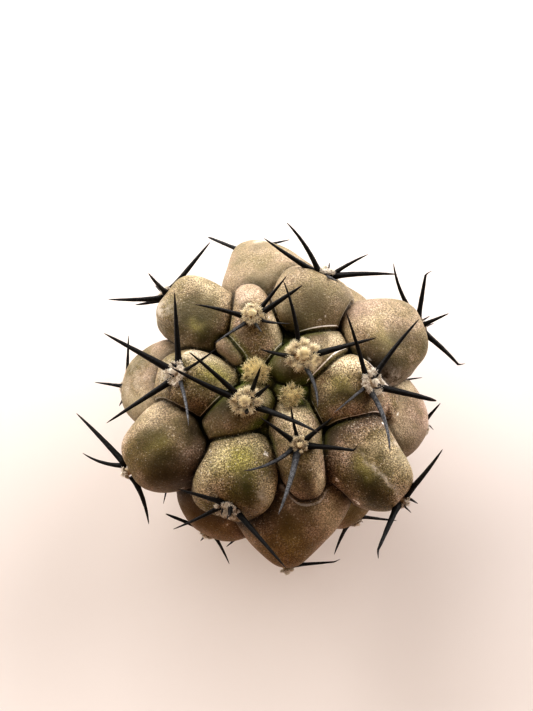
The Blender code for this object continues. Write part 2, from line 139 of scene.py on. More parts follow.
# Colour patches on a tubercle: how far they lie from its areole towards the apex, or away from it below zero,
# and how far across, clockwise, their half lengths along and across, and how strong they are. A flush is
# yellow-green, a shade dark olive, partly the skin's own and partly painted shade, a blush mauve, a bloom pale
# scurf and a wax smooth and pale, partly the skin's own wax and partly painted light
Patch = namedtuple("Patch", "kind away across length width strength")
PATCHES = {
    "1a": (
        Patch("blush", -7.0, 0.0, 4.0, 3.0, 0.5), Patch("wax", -7.8, 1.2, 3.0, 2.0, 1.0),
        Patch("shade", 4.6, 0.0, 3.2, 3.5, 0.9), Patch("shade", -3.4, -1.9, 1.0, 1.0, 1.0),
    ),
    "1b": (Patch("wax", 4.8, -0.8, 1.8, 1.6, 0.8), Patch("shade", -3.0, 2.2, 2.8, 2.6, 1.0)),
    "2a": (
        Patch("shade", -2.4, -0.3, 0.7, 0.9, 0.9), Patch("bloom", -4.6, 0.6, 1.3, 1.6, 0.3),
        Patch("blush", -5.0, 0.0, 2.2, 2.6, 0.8), Patch("wax", 4.2, 3.2, 2.6, 1.2, 0.9),
        Patch("shade", 2.9, -2.8, 2.5, 1.2, 0.5),
    ),
    "2b": (
        Patch("shade", -5.6, 1.0, 2.2, 1.5, 0.7), Patch("blush", -6.0, -3.0, 3.0, 1.2, 0.6),
        Patch("wax", 6.4, -0.3, 3.6, 2.6, 1.0), Patch("wax", -7.0, -1.4, 3.4, 1.0, 0.7),
        Patch("bloom", 0.6, -2.6, 1.4, 0.7, 0.7),
    ),
    "3a": (
        Patch("wax", 7.4, 2.6, 4.0, 2.2, 1.0), Patch("wax", 8.8, 0.8, 1.8, 2.6, 0.9),
        Patch("flush", 6.4, 0.8, 2.2, 1.6, 1.0), Patch("shade", 5.0, -1.6, 2.2, 1.5, 0.6),
        Patch("bloom", 4.3, 3.6, 1.6, 1.1, 0.7), Patch("bloom", -3.6, 0.3, 1.4, 2.0, 0.6),
        Patch("blush", 5.8, -4.3, 3.0, 1.5, 0.7),
    ),
    "3b": (
        Patch("wax", 6.4, -3.0, 3.8, 2.2, 1.0), Patch("wax", 7.6, -1.0, 3.2, 2.0, 1.0),
        Patch("flush", 5.2, -0.3, 1.9, 1.5, 0.55), Patch("shade", 3.9, 1.6, 1.8, 1.5, 1.0),
        Patch("bloom", -3.4, -0.8, 0.5, 1.8, 0.8), Patch("blush", 6.2, 4.6, 3.0, 1.5, 0.7),
    ),
    "4a": (
        Patch("shade", 7.2, 0.3, 2.8, 3.2, 1.0), Patch("shade", 10.0, -1.6, 2.4, 2.6, 1.0),
        Patch("shade", 6.6, 4.6, 2.4, 2.0, 0.7), Patch("blush", 6.0, -5.0, 3.5, 1.8, 0.9),
        Patch("shade", 5.0, 0.0, 4.0, 5.0, 0.3), Patch("wax", 9.6, -4.4, 1.8, 1.4, 0.6),
        Patch("blush", 10.5, 4.5, 2.6, 2.0, 0.8),
    ),
    "4b": (
        Patch("flush", 8.4, 0.8, 1.8, 2.4, 0.9), Patch("shade", 5.0, -1.6, 2.3, 2.2, 1.0),
        Patch("wax", 8.6, 3.2, 2.4, 1.6, 0.7), Patch("wax", 10.8, 0.2, 1.6, 3.0, 0.9),
        Patch("wax", 8.2, -5.6, 3.0, 1.2, 1.0), Patch("wax", 6.0, 5.0, 4.0, 2.0, 0.5),
        Patch("bloom", 5.9, -4.4, 1.6, 0.8, 0.5),
    ),
    "5a": (
        Patch("shade", 9.8, 0.4, 3.4, 3.0, 1.0), Patch("shade", 8.8, -1.0, 3.0, 3.2, 1.0),
        Patch("shade", 12.0, -1.8, 2.5, 2.5, 1.0), Patch("wax", 8.7, 3.8, 2.6, 1.4, 0.6),
        Patch("flush", 10.6, -1.6, 1.1, 1.0, 0.5), Patch("bloom", 4.6, -3.4, 2.6, 1.5, 0.7),
    ),
    "5b": (
        Patch("flush", 9.9, 1.0, 1.7, 1.3, 0.45), Patch("shade", 8.4, 2.0, 3.4, 2.2, 1.0),
        Patch("shade", 10.5, 0.4, 2.4, 1.6, 0.6), Patch("wax", 8.0, -3.4, 3.6, 2.0, 0.5),
        Patch("wax", 10.8, -2.0, 1.6, 1.6, 0.6), Patch("shade", 15.4, 0.6, 1.1, 2.8, 0.9),
        Patch("bloom", 7.6, 0.1, 3.4, 0.35, 0.6), Patch("bloom", 9.3, -5.5, 0.5, 0.8, 0.7),
        Patch("blush", 15.5, 1.5, 3.5, 3.0, 0.8),
    ),
    "6a": (
        Patch("flush", 9.4, 0.3, 1.9, 1.5, 0.35), Patch("shade", 9.0, -3.2, 3.8, 3.6, 1.0),
        Patch("shade", 9.6, 1.0, 2.8, 2.2, 0.8), Patch("shade", 13.6, -0.8, 1.6, 2.4, 1.0),
        Patch("wax", 11.0, 4.0, 2.4, 3.0, 0.5),
        Patch("blush", 11.5, 8.0, 3.5, 3.0, 0.5),
    ),
    "6b": (
        Patch("wax", 14.8, -2.4, 1.4, 1.4, 0.9), Patch("shade", 12.6, 4.4, 3.2, 2.6, 1.0),
        Patch("flush", 11.0, 0.4, 1.2, 3.0, 0.4), Patch("shade", 10.2, 1.8, 3.4, 1.9, 1.0),
        Patch("wax", 10.6, -2.8, 2.6, 1.2, 0.5), Patch("bloom", 13.0, 7.1, 1.5, 1.5, 0.9),
        Patch("blush", 12.4, -5.2, 3.6, 2.6, 1.0), Patch("shade", 13.0, -5.4, 1.6, 1.6, 0.35),
    ),
    "7a": (
        Patch("shade", 14.4, 0.6, 1.8, 2.6, 1.0), Patch("bloom", 5.6, 2.2, 0.6, 1.4, 0.7),
        Patch("shade", 7.2, 1.8, 0.9, 1.9, 0.8), Patch("blush", 7.5, -3.8, 4.0, 2.4, 0.7),
    ),
    "7b": (
        Patch("shade", 10.0, -0.4, 3.4, 2.8, 0.7), Patch("flush", 7.4, -0.4, 1.9, 1.6, 0.4),
        Patch("blush", 10.0, -5.5, 3.5, 2.5, 0.7), Patch("blush", 10.5, 5.5, 3.5, 2.2, 0.5),
        Patch("wax", 12.2, -7.6, 3.6, 2.6, 0.8),
    ),
    "8a": (Patch("bloom", 6.0, 0.0, 5.0, 5.0, 0.25), Patch("wax", 9.2, -4.5, 3.0, 3.0, 0.6)),
    "8b": (
        Patch("blush", 5.0, 0.0, 6.0, 8.0, 0.8), Patch("wax", 9.5, 2.0, 3.0, 4.0, 0.4),
        Patch("shade", 6.6, 3.2, 3.0, 3.0, 0.4), Patch("wax", 10.2, -4.6, 2.0, 1.6, 0.8),
    ),
    "9a": (Patch("shade", 6.5, 2.5, 4.0, 4.0, 0.9),),
}
# The other tubercles, out of sight from above, have one of each
USUAL_PATCHES = (
    Patch("flush", 8.6, 0.4, 1.8, 1.6, 0.5), Patch("shade", 6.6, -1.4, 2.4, 2.2, 0.7),
    Patch("blush", 7.0, 4.0, 3.5, 2.0, 0.6),
)

# Where the first tubercle is overhung by the second, painted shade darkens its skin for so many millimetres
OVERHUNG = {
    ("5b", "3b"): 2.8, ("5b", "2b"): 2.4, ("6a", "4b"): 2.4, ("6a", "1b"): 2.2, ("4b", "1b"): 1.2,
    ("4b", "6a"): 1.6, ("1a", "4a"): 2.0, ("2b", "4b"): 1.9, ("3a", "1b"): 1.3, ("7b", "4b"): 1.6,
    ("1b", "3a"): 1.8, ("6b", "3b"): 1.3, ("9a", "4b"): 2.6, ("9a", "6a"): 2.6,
}
# How much of its young green a tubercle has kept
GREENNESS = {"3a": 0.15, "4a": 0.14, "4b": 0.18, "5a": 0.1, "7a": 0.12}
# How thickly the meal of wax grains lies on a tubercle, where its age doesn't say
MEALINESS = {
    "3b": 1.05, "4a": 0.7, "4b": 1.1, "5a": 0.9, "5b": 1.1, "6a": 0.75, "6b": 0.6, "7a": 0.4, "7b": 0.75,
    "8a": 0.4, "fold": 0.5,
}

# Dry white lips stand where the first tubercle's edge was pressed against the second. Their white is partly a
# painted highlight
LIPS = {
    ("4a", "1a"): 1.0, ("4a", "2a"): 0.5, ("4a", "core"): 0.8, ("4a", "6b"): 0.3, ("3a", "1b"): 0.7,
    ("3a", "0a"): 1.0, ("3a", "6a"): 0.3, ("2a", "1a"): 0.6, ("2a", "core"): 0.5, ("2a", "fold"): 0.4,
    ("1a", "3b"): 1.0, ("3b", "5b"): 0.8, ("3b", "2b"): 0.7, ("3b", "6b"): 0.5, ("7b", "2b"): 0.2,
    ("5b", "7b"): 0.3,
}
# Where a lip stands further from its crease than the rest, in mm, and is drawn but not raised
SETBACKS = {("1a", "3b"): 1.0, ("4a", "1a"): 0.8}
# Pairs that have grown together with no crease between them
MERGED = (("3b", "8b"), ("8b", "3b"))

# Spines: bearing from above, rise above the horizon, length, thickness at the foot, how far the middle bows
# to the left of the spine's own direction as a share of its length, and how grey it is, from weathering and,
# on the spines that point towards the camera, from painted sheen
Spine = namedtuple("Spine", "bearing rise length thickness bow grey")
SPINES = {
    "1a": (
        Spine(106, 25, 12.0, 0.9, -0.04, 0.0), Spine(8, 20, 12.0, 1.2, 0.0, 0.0),
        Spine(181, 30, 7.5, 0.9, 0.02, 0.0), Spine(282, 30, 11.5, 0.9, 0.06, 0.5),
    ),
    "1b": (
        Spine(160, 24, 13.0, 1.2, 0.01, 0.0), Spine(143, 28, 12.0, 1.0, -0.01, 0.0),
        Spine(62, 40, 6.5, 0.9, 0.0, 0.0), Spine(26, 40, 5.5, 0.9, 0.0, 0.0),
        Spine(332, 20, 13.5, 1.1, 0.02, 0.1), Spine(275, 30, 2.5, 0.9, 0.0, 0.0),
    ),
    "2a": (
        Spine(180, 30, 10.0, 0.9, -0.02, 0.0), Spine(45, 18, 8.0, 0.8, 0.0, 0.0),
        Spine(23, 27, 9.5, 1.1, 0.0, 0.0), Spine(336, 30, 7.5, 0.6, -0.03, 0.1),
        Spine(227, 30, 9.5, 0.7, 0.0, 0.5), Spine(292, 35, 5.0, 0.6, 0.0, 0.4),
    ),
    "2b": (
        Spine(151, 30, 8.0, 0.9, 0.0, 0.0), Spine(105, 35, 6.5, 0.6, 0.02, 0.0),
        Spine(35, 30, 7.0, 0.9, 0.0, 0.0), Spine(349, 20, 10.0, 1.0, 0.02, 0.0),
        Spine(254, 25, 13.5, 1.1, 0.02, 0.9), Spine(210, 25, 11.0, 0.8, 0.07, 0.5),
    ),
    "3a": (
        Spine(150, 0, 12.5, 1.2, 0.0, 0.0), Spine(88, 25, 12.5, 1.1, 0.0, 0.0),
        Spine(15, 45, 10.5, 0.6, -0.02, 0.0), Spine(220, 5, 13.0, 1.1, 0.0, 0.0),
        Spine(286, 35, 13.0, 0.7, 0.02, 1.0),
    ),
    "3b": (
        Spine(118, 40, 13.0, 0.9, -0.01, 0.0), Spine(54, 10, 12.0, 1.1, 0.02, 0.0),
        Spine(344, -5, 10.0, 1.2, 0.01, 0.0), Spine(278, 25, 13.5, 1.0, 0.055, 0.9),
        Spine(225, 40, 12.5, 0.6, 0.0, 0.6),
    ),
    "4a": (
        Spine(161, 25, 11.5, 1.0, 0.01, 0.0), Spine(145, 50, 12.0, 1.0, -0.045, 0.1),
        Spine(11, 25, 7.5, 0.8, 0.02, 0.0), Spine(348, 20, 12.0, 1.1, 0.02, 0.0),
        Spine(291, 55, 8.0, 0.6, 0.0, 0.9),
    ),
    "4b": (
        Spine(162, 45, 10.5, 0.9, 0.0, 0.0), Spine(198, 0, 8.5, 0.8, 0.02, 0.1),
        Spine(316, 10, 13.0, 1.1, 0.0, 0.0), Spine(300, 65, 3.0, 0.9, 0.0, 0.0),
    ),
    "5a": (
        Spine(43, 15, 11.0, 1.0, 0.0, 0.0), Spine(194, 12, 9.0, 1.0, 0.02, 0.1),
        Spine(208, -5, 5.0, 0.8, 0.02, 0.1),
    ),
    "5b": (Spine(56, 36, 11.0, 1.0, -0.02, 0.1), Spine(238, 18, 11.0, 1.1, 0.0, 0.0)),
    "6a": (
        Spine(128, 0, 12.5, 1.1, -0.01, 0.1), Spine(152, -4, 7.5, 0.8, 0.08, 0.0),
        Spine(298, -30, 9.5, 1.0, 0.05, 0.1),
    ),
    "6b": (
        Spine(122, 28, 11.5, 0.9, 0.07, 0.0), Spine(90, 32, 9.5, 1.0, 0.0, 0.0),
        Spine(12, 45, 5.0, 0.8, 0.0, 0.0), Spine(306, 5, 10.0, 1.1, 0.03, 0.1),
    ),
    "7a": (Spine(168, 0, 6.5, 0.7, 0.0, 0.4), Spine(5, 5, 7.5, 0.7, 0.0, 0.8)),
    "7b": (Spine(13, -10, 9.0, 0.7, 0.0, 0.0),),
    "8a": (Spine(80, 30, 9.0, 0.7, 0.0, 0.2), Spine(171, 10, 4.5, 0.7, 0.0, 0.3)),
    "8b": (Spine(63, 30, 5.0, 0.7, 0.0, 0.0),),
    "9a": (Spine(150, 5, 7.5, 0.7, 0.0, 0.0),),
}
FOOT_HEIGHT = 0.9
# The spines' roots stand apart in the wool, and start this far under it
ROOT_SPREAD = 1.15
ROOT_DEPTH = 0.15
# The horn is a little slimmer than its solid
SLIMNESS = 0.96

# The worn spines of the old areoles, by the same seeded rule as the solids
WORN_AGE = 5
WORN_COUNT = 4
WORN_LEANS = (66, 56, 46)
WORN_LENGTH = (5.5, 8.5)
WORN_THICKNESS = (0.6, 0.9)
WORN_REACH = 27.5
FLOOR_GAP = 1.2
SPINE_GAP = 1.5
SKIN_GAP = 1.0
WORN_TURN_SCATTER = 12.0
CHECKED_SHARES = [step / 12 for step in range(4, 13)]
WORN_BOW = 0.03
WORN_GREY = 0.35

# How a spine is drawn: its taper, the swelling at its foot, its ridges and knots, how far its middle sags or
# rises, and the share of its length where a hook starts
HORN_TAPER = 0.56
BLUNT_TAPER = 0.42
BLUNT_CURVE = 9
FOOT_SWELL = 0.32
FOOT_SWELL_REACH = 0.9
RIDGE_COUNTS = (2, 3, 4)
RIDGE_DEPTH = 0.06
RIDGE_TWIST = 2.0
KNOT_DEPTH = 0.05
KNOT_RATES = (5.2, 2.3)
PHASES = (0, 6)
SAGS = (-0.012, 0.02)
HOOK_START = 0.86
# Past this share of its length a spine closes to a point
AT_POINT = 0.999
# Its rings crowd towards the point, it is greyer further out, and its point is brown
RING_CROWDING = 1.35
GREY_AT_FOOT = 0.25
GREY_RISE = 2.5
BROWN_FROM = 0.84
BROWN_SHARE = 0.7

# Where a lip stands from its crease, its half width, and the heights between which the lips appear
LIP_OFFSET = 0.42
LIP_WIDTH = 0.14
LIP_HEIGHTS = (14.0, 24.0)
# Random relief: the lengths of its waves in mm, and its seed
Waves = namedtuple("Waves", "lengths seed")
DENTS = Waves((6.1, 7.7, 9.4, 11.3, 5.2), SEED + 2)
CORK_EDGE = Waves((5.0, 8.0, 3.4, 12.0), SEED + 3)
CORK_CRACKS = Waves((1.9, 2.6, 1.4, 3.3, 2.2), SEED + 4)
SCUFFS = Waves((4.1, 6.3, 3.2, 7.9, 5.0), SEED + 7)
# The zones of the skin. Two numbers are where a zone starts and where it is full, and the others are mm or
# shares. Creases and areoles further off than these two count as this far
FARTHEST_CREASE = 8.0
FARTHEST_AREOLE = 99.0
# A patch's edge wanders by this much, in waves of these lengths
PATCH_WANDER = 0.6
PATCH_WAVES = (3.1, 4.3, 2.3)
# From this age on, tubercles without listed patches have the usual ones
UNLISTED_PATCHES_AGE = 9
# Scuffs lie some way from the creases, and not on the youngest tubercles
SCUFF_LEVELS = (0.50, 0.68)
SCUFF_OFFSET = 2.0
SCUFF_REACH = 1.6
SCUFF_AGE = 2
# The meal of wax is thinner on the youngest and the oldest tubercles
MEAL_AGES = (0, 3, 6, 8)
MEAL_SHARES = (0.5, 1.0, 0.85, 0.5)
# A side of the plant: the way that it faces, where its zone starts and is full, and the zone's share
Side = namedtuple("Side", "bearing rise start full share")
SHADED_SIDE = Side(270, 0, -16.0, 4.0, 0.4)
TAN_SIDE = Side(80, 25, 19.0, 30.0, 0.3)
# Painted warm bounce light, reddish, on the low side towards bearing 255
PAINTED_BOUNCE_SIDE = Side(255, -25, -2.0, 16.0, 0.55)
# Painted shade darkens the creases, most of all on the shaded side and where the skin is overhung
CREASE_SHADE_SHARE = 0.65
CREASE_SHADE_REACH = 0.9
OVERHUNG_SHARE = 0.85
OVERHUNG_USUAL = 0.5
OVERHUNG_LEAST = 1.0
WAX_COVER = 0.95
# Round the apex the creases and the lowest of the youngest skin stay green
APEX_RADII = (16.0, 8.0)
GREEN_SHARE = 0.8
GREEN_REACH = 1.1
GREEN_RADII = (12.0, 6.0)
GREEN_TOP = 36.5
GREEN_DEPTHS = (0.0, 3.0)
GREEN_AGE = 2
FOLD_BLUSH = 0.8
FOLD_GREEN = 0.6
# Cork climbs from the base to an uneven edge
CORK_TOP = 12.0
CORK_UNEVEN = 2.5
CORK_DEPTHS = (2.0, 9.0)
CORK_RELIEF = 0.22
# The skin dents only away from its creases, sinks at the areoles, and lies flat where the plant rests
DENT_MARGIN = (0.0, 2.5)
AREOLE_DEPTH = 0.30
AREOLE_REACH = 1.3
RESTING_HEIGHTS = (0.0, 0.8)

# Wool: the radius and height of the tuft for each age, with the last value for all older ones
WOOL_SIZES = ((2.4, 1.3), (2.9, 1.9), (1.9, 1.5), (2.1, 1.4), (2.1, 1.3), (1.8, 1.2))
# How the wool parts into tufts: the degrees from one to the next round the middle, their radius and reach as
# shares of the whole, how far the hairs flare outward and stray, and the longest hair as a share of the
# tuft's radius
Tufts = namedtuple("Tufts", "spacing radius reach flare stray length")
APEX_TUFTS = Tufts(52, 0.30, 0.62, 0.7, 1.0, 1.5)
YOUNG_TUFTS = Tufts(46, 0.25, 0.62, 1.3, 0.5, 1.5)
OLD_TUFTS = Tufts(42, 0.24, 0.70, 0.4, 0.45, 0.9)
# The knob of wool in the middle is this much bigger than the tufts round it
KNOB_SWELL = 1.25
# How much the tufts' reach, height and radius vary, and their angles: in radians between spines, and as a
# share of the spacing where there are none
REACH_SPREAD = (0.85, 1.1)
LEVEL_SPREAD = (0.7, 1.2)
RADIUS_SPREAD = (0.8, 1.15)
TURN_SPREAD = (-0.08, 0.08)
FREE_TURN_SPREAD = (-0.3, 0.3)
# Two spines closer than this share of the spacing hold no tuft between them
NARROWEST_GAP = 0.35
# The tufts stand lower further out, and the knob stands highest. Where no spine parts the wool there is an
# inner ring of tufts too
TUFT_RISE = 0.55
TUFT_FALL = 0.4
KNOB_RISE = 0.7
INNER_TURN = 0.4
INNER_REACH = 0.5
# Hairs: how far below level they point, where they start and flare as shares of the tuft's radius, their
# shortest length, how much shorter they are on the knob, how much their thickness varies, where they bend
# and how thick their tips are
HAIR_DROOP = 0.35
HAIR_ROOT = 0.5
HAIR_FLARE_START = 0.7
SHORTEST_HAIR = 0.2
KNOB_HAIR = 0.8
THICKNESS_SPREAD = (0.7, 1.3)
HAIR_BENDS = (0.35, 0.7)
HAIR_TAPER = 0.4
# How bright the wool is: at a hair's root and tip, in the tufts, on the knob, in the felt, and with height.
# The brightening towards the top and on the knob is partly painted light
ROOT_LIFT = 0.1
TIP_LIFT = 0.9
TUFT_LIFT = 0.85
KNOB_GAIN = 0.25
KNOB_LIFT = 0.3
FELT_LIFT = 0.2
KNOB_FELT_LIFT = 0.75
LEVEL_LIFT = 0.72
HEIGHT_LIFT = 0.35
# Felt cores: their size in a tuft, in the knob and under them all, their flatness and their lumps
FELT_SHARE = 0.62
KNOB_FELT_SHARE = 0.42
FELT_BED_SHARE = 0.55
FELT_FLATNESS = 0.6
FELT_LUMPS = 0.12
FELT_WAVES = (0.7, 0.9, 0.5, 1.2)
# Directions that no areole and hardly any hair takes, from which their own axes are turned
WOOL_SIDE = (0.3, 0.2, 1.0)
HAIR_SIDE = (0.1, 0.9, 0.2)
# The number of hairs is given for wool of this radius
HAIRS_RADIUS = 2.0
# Old tubercles hold less wool than the plan's tufts, and most younger ones the full size
FULL_WOOL_AGE = 4
OLD_FULLNESS = 0.7
FULLNESS = {"0b": 0.82, "1b": 0.83, "2b": 0.75, "3b": 1.1}
# Spine tips that have only just come through the wool, and stubs of broken ones
BUDS = {"3a": 2, "3b": 2, "4a": 1, "4b": 2, "5b": 2, "6b": 2}
BUD_LEAN = 55.0
BUD_LEANS = (0.3, 1.0)
BUD_TURNS = (-0.4, 0.4)
BUD_LENGTHS = (1.0, 1.7)
BUD_THICKNESSES = (0.4, 0.6)
STUB_AGE = 3
STUB_GREY = 0.5

# A thin spine of an old areole that is too fine to be a solid
FINE_SPINES = {"8b": (Spine(101, 35, 6.0, 0.5, 0.05, 0.2),)}

# Spine ends that aren't plain points: worn blunt, or caught and hooked while soft, with the hook's degrees.
# Numbers count along a row above
BLUNT = {("3b", 2), ("9a", 0), ("4b", 3), ("1b", 5), ("7a", 0)}
HOOKED = {
    ("8b", 1): -75.0, ("2b", 3): 70.0, ("6b", 1): -50.0, ("6b", 3): 60.0, ("5b", 1): 25.0, ("7b", 0): 20.0,
}

# The stage is framed as the photograph is: 533 by 711 pixels, looking steeply down on the head
IMAGE_WIDTH = 533.0
IMAGE_HEIGHT = 711.0
SENSOR = 36.0
PIXELS_PER_MM = 6.5
AIM_PIXEL = (275.0, 381.0)
AIM_HEIGHT = 36.0
# Soft lamps: their bearing and rise, their distance and size in metres, and their colour
Lamp = namedtuple("Lamp", "name bearing rise distance size colour")
LAMPS = (
    Lamp("key", 118, 18, 0.42, 0.42, "#FBF8F8"),
    Lamp("side", 36, 19, 0.42, 0.42, "#FBF8F8"),
    Lamp("left", 165, 30, 0.50, 0.40, "#FFFAF4"),
    Lamp("fill", 275, 36, 0.60, 0.50, "#FFC79E"),
)
LAMP_AIM = (0.0, 0.0, 0.02)
FLOOR_SIZE = 2.0

Tubercle = namedtuple("Tubercle", "name age place along across up centre half square taper pinch out")


def direction(bearing, rise):
    """A unit vector with this bearing round +Z and this rise above the horizon."""
    level = math.cos(math.radians(rise))
    turn = math.radians(bearing)
    return np.array((level * math.cos(turn), level * math.sin(turn), math.sin(math.radians(rise))))


def swollen(tubercle, toward):
    """Points of a squarish swollen body in unit directions from its centre, in the tubercle's own axes."""
    squareness = (np.abs(toward) ** tubercle.square).sum(axis=-1, keepdims=True) ** (1 / tubercle.square)
    shape = toward / squareness
    end = shape[..., :1]
    draw_in = np.concatenate((np.ones_like(end), 1 - tubercle.pinch * end, 1 - tubercle.taper * end), axis=-1)
    return shape * tubercle.half * draw_in


def axes_of(tubercle):
    return np.stack((tubercle.along, tubercle.across, tubercle.up))


def in_world(tubercle, local):
    return local @ axes_of(tubercle)


def gap_to(tubercle, points):
    """About how far points lie outside the tubercle's surface, below zero inside it."""
    local = (points - tubercle.centre) @ axes_of(tubercle).T
    local = local / tubercle.half
    end = np.clip(local[:, 0], -1, 1)
    local[:, 1] /= 1 - tubercle.pinch * end
    local[:, 2] /= 1 - tubercle.taper * end
    depth = (np.abs(local) ** tubercle.square).sum(axis=1) ** (1 / tubercle.square)
    return np.linalg.norm(points - tubercle.centre, axis=1) * (1 - 1 / np.maximum(depth, TINY))


def tubercle_of(age, side, grown):
    """One tubercle of the plan, with the sizes that it has grown to."""
    name = f"{age}{side}"
    pair = PAIRS[age]
    sizes = {**pair._asdict(), **grown}
    bearing = pair.bearings[SIDES.index(side)]
    heading = bearing + HEADINGS.get(name, 0) + grown.get("turn", 0)
    place = direction(bearing, 0) * REACHES.get(name, pair.reach)
    place[2] = pair.height
    along = direction(heading, sizes["facing"])
    across = direction(heading + 90, 0)
    half = np.array((sizes["length"], sizes["width"], sizes["depth"])) / 2
    made = Tubercle(
        name, age, place, along, across, np.cross(along, across), np.zeros(3), half,
        sizes["square"], sizes["taper"], sizes["pinch"], along,
    )
    seat = math.radians(sizes["seat"])
    on_skin = swollen(made, np.array((math.cos(seat), 0.0, math.sin(seat))))
    made = made._replace(centre=place - in_world(made, on_skin))
    step = SLOPE_STEP * np.eye(3)
    slope = gap_to(made, place + step) - gap_to(made, place - step)
    return made._replace(out=slope / np.linalg.norm(slope))


NAMES = [(age, side) for age in range(len(PAIRS)) for side in SIDES]
# The plan's tubercles seat the spines and the wool, and the grown ones make the skin
TUBERCLES = [tubercle_of(age, side, {}) for age, side in NAMES]
GROWN_TUBERCLES = [tubercle_of(age, side, GROWN.get(f"{age}{side}", {})) for age, side in NAMES]
# The flesh inside and the corky base, as bodies of the same kind
CORE = Tubercle(
    "core", 0, CORE_CENTRE, *np.eye(3), CORE_CENTRE, CORE_RADII, 2.0, 0.0, 0.0, UPWARD,
)
BASE = CORE._replace(name="base", age=len(PAIRS) - 1, place=BASE_CENTRE, centre=BASE_CENTRE, half=BASE_RADII)
GROWN_CORE = CORE._replace(half=CORE_RADII + (0.0, 0.0, CORE_SWELL))
FOLD = CORE._replace(
    name="fold", age=FOLD_AGE, place=FOLD_CENTRE, centre=FOLD_CENTRE, half=FOLD_RADII, square=FOLD_SQUARE,
    along=direction(FOLD_BEARING, 0), across=direction(FOLD_BEARING + 90, 0),
)
SKIN_BODIES = (*GROWN_TUBERCLES, GROWN_CORE, BASE, FOLD)
SKIN_NAMES = [body.name for body in SKIN_BODIES]
SKIN_AGES = np.array([body.age for body in SKIN_BODIES])
# The skin's points, the bodies that each lies on and next to, the age there, and mm to its crease and areole
Skin = namedtuple("Skin", "points owner neighbour ages crease to_areole")


def foot_of(tubercle):
    """Where the spines of an areole start."""
    return tubercle.place + tubercle.out * FOOT_HEIGHT


def nearest_gap(first, second):
    """The smallest distance between two spines, taken as straight lines from foot to tip."""
    closest = math.inf
    along = second[1] - second[0]
    for share in CHECKED_SHARES:
        point = first[0] + (first[1] - first[0]) * share
        share = (point - second[0]) @ along / (along @ along)
        share = max(CHECKED_SHARES[0], min(1.0, share))
        closest = min(closest, np.linalg.norm(point - second[0] - along * share))
    return closest


def lies_clear(foot, tip, others):
    """Whether a spine stays off the skin, the floor and the other spines."""
    if tip[2] < FLOOR_GAP or np.linalg.norm(tip[:2]) > WORN_REACH:
        return False
    points = np.array([foot + (tip - foot) * share for share in CHECKED_SHARES])
    if any(gap_to(tubercle, points).min() < SKIN_GAP for tubercle in TUBERCLES):
        return False
    return all(nearest_gap((foot, tip), other) > SPINE_GAP for other in others)


def leaning(tubercle, turn, lean):
    """A direction that leans away from the areole's own by one angle, and is turned round it by another."""
    side = Vector(np.cross(tubercle.out, UPWARD)).normalized()
    around = np.array(Matrix.Rotation(turn, 3, Vector(tubercle.out)) @ side)
    return tubercle.out * math.cos(lean) + around * math.sin(lean)


def listed(table, tubercle):
    """The spines that the table lists for a tubercle, each with its direction."""
    return [(direction(spine.bearing, spine.rise), spine) for spine in table.get(tubercle.name, ())]


def worn_spines(tubercle, taken, dice):
    """The worn spines of an old areole, each a direction with a Spine's sizes."""
    foot = foot_of(tubercle)
    found = []
    first_turn = dice.uniform(0, 360)
    for number in range(WORN_COUNT):
        turn = first_turn + 360 / WORN_COUNT * number + dice.uniform(-WORN_TURN_SCATTER, WORN_TURN_SCATTER)
        length = dice.uniform(*WORN_LENGTH)
        thickness = dice.uniform(*WORN_THICKNESS)
        for lean in WORN_LEANS:
            toward = leaning(tubercle, math.radians(turn), math.radians(lean))
            tip = foot + toward * length
            if lies_clear(foot, tip, taken):
                bow = WORN_BOW * math.sin(turn)
                found.append((toward, Spine(0, 0, length, thickness, bow, WORN_GREY)))
                taken.append((foot, tip))
                break
    return found


def planned_spines():
    """For each tubercle its spines, each a direction with a Spine's sizes: the listed, then the worn ones."""
    dice = random.Random(SEED)
    plans = {}
    taken = []
    for tubercle in TUBERCLES:
        foot = foot_of(tubercle)
        plans[tubercle.name] = listed(SPINES, tubercle)
        for toward, spine in plans[tubercle.name]:
            taken.append((foot, foot + toward * spine.length))
    for tubercle in TUBERCLES:
        if tubercle.age >= WORN_AGE:
            plans[tubercle.name] += worn_spines(tubercle, taken, dice)
    return plans


SPINE_PLANS = planned_spines()


def linear(hex_colour):
    """An sRGB hex colour as linear RGBA."""
    channels = [int(hex_colour[place:place + 2], 16) / 255 for place in (1, 3, 5)]
    curve = [c / 12.92 if c <= 0.04045 else ((c + 0.055) / 1.055) ** 2.4 for c in channels]
    return (*curve, 1.0)


def add_node(tree, kind, inputs, output=0, stops=(), **settings):
    """Adds a node and gives one of its outputs. Inputs are values or outputs, and stops a ramp's colours."""
    node = tree.nodes.new(f"ShaderNode{kind}")
    for name, value in settings.items():
        setattr(node, name, value)
    for name, value in inputs.items():
        if isinstance(value, bpy.types.NodeSocket):
            tree.links.new(value, node.inputs[name])
        else:
            node.inputs[name].default_value = value
    for number, (position, colour) in enumerate(stops):
        elements = node.color_ramp.elements
        element = elements[number] if number < len(elements) else elements.new(position)
        element.position = position
        element.color = linear(colour)
    return node.outputs[output]


def per_mm(size):
    """The scale of a pattern whose features are this many mm wide, on coordinates in metres."""
    return 1 / (size * MM)


def new_material(name):
    """An empty node material, its tree and its Principled BSDF."""
    made = bpy.data.materials.new(name)
    made.use_nodes = True
    return made, made.node_tree, made.node_tree.nodes["Principled BSDF"]


# What the skin's vertices carry for its colours: mm to the nearest crease, and shares from 0 to 1 of the rest
SKIN_MARKS = (
    "crease", "bare", "flush", "shade", "blush", "bloom", "wax", "tan", "russet", "young", "cork", "lip",
    "setback", "scuff", "mealy",
)


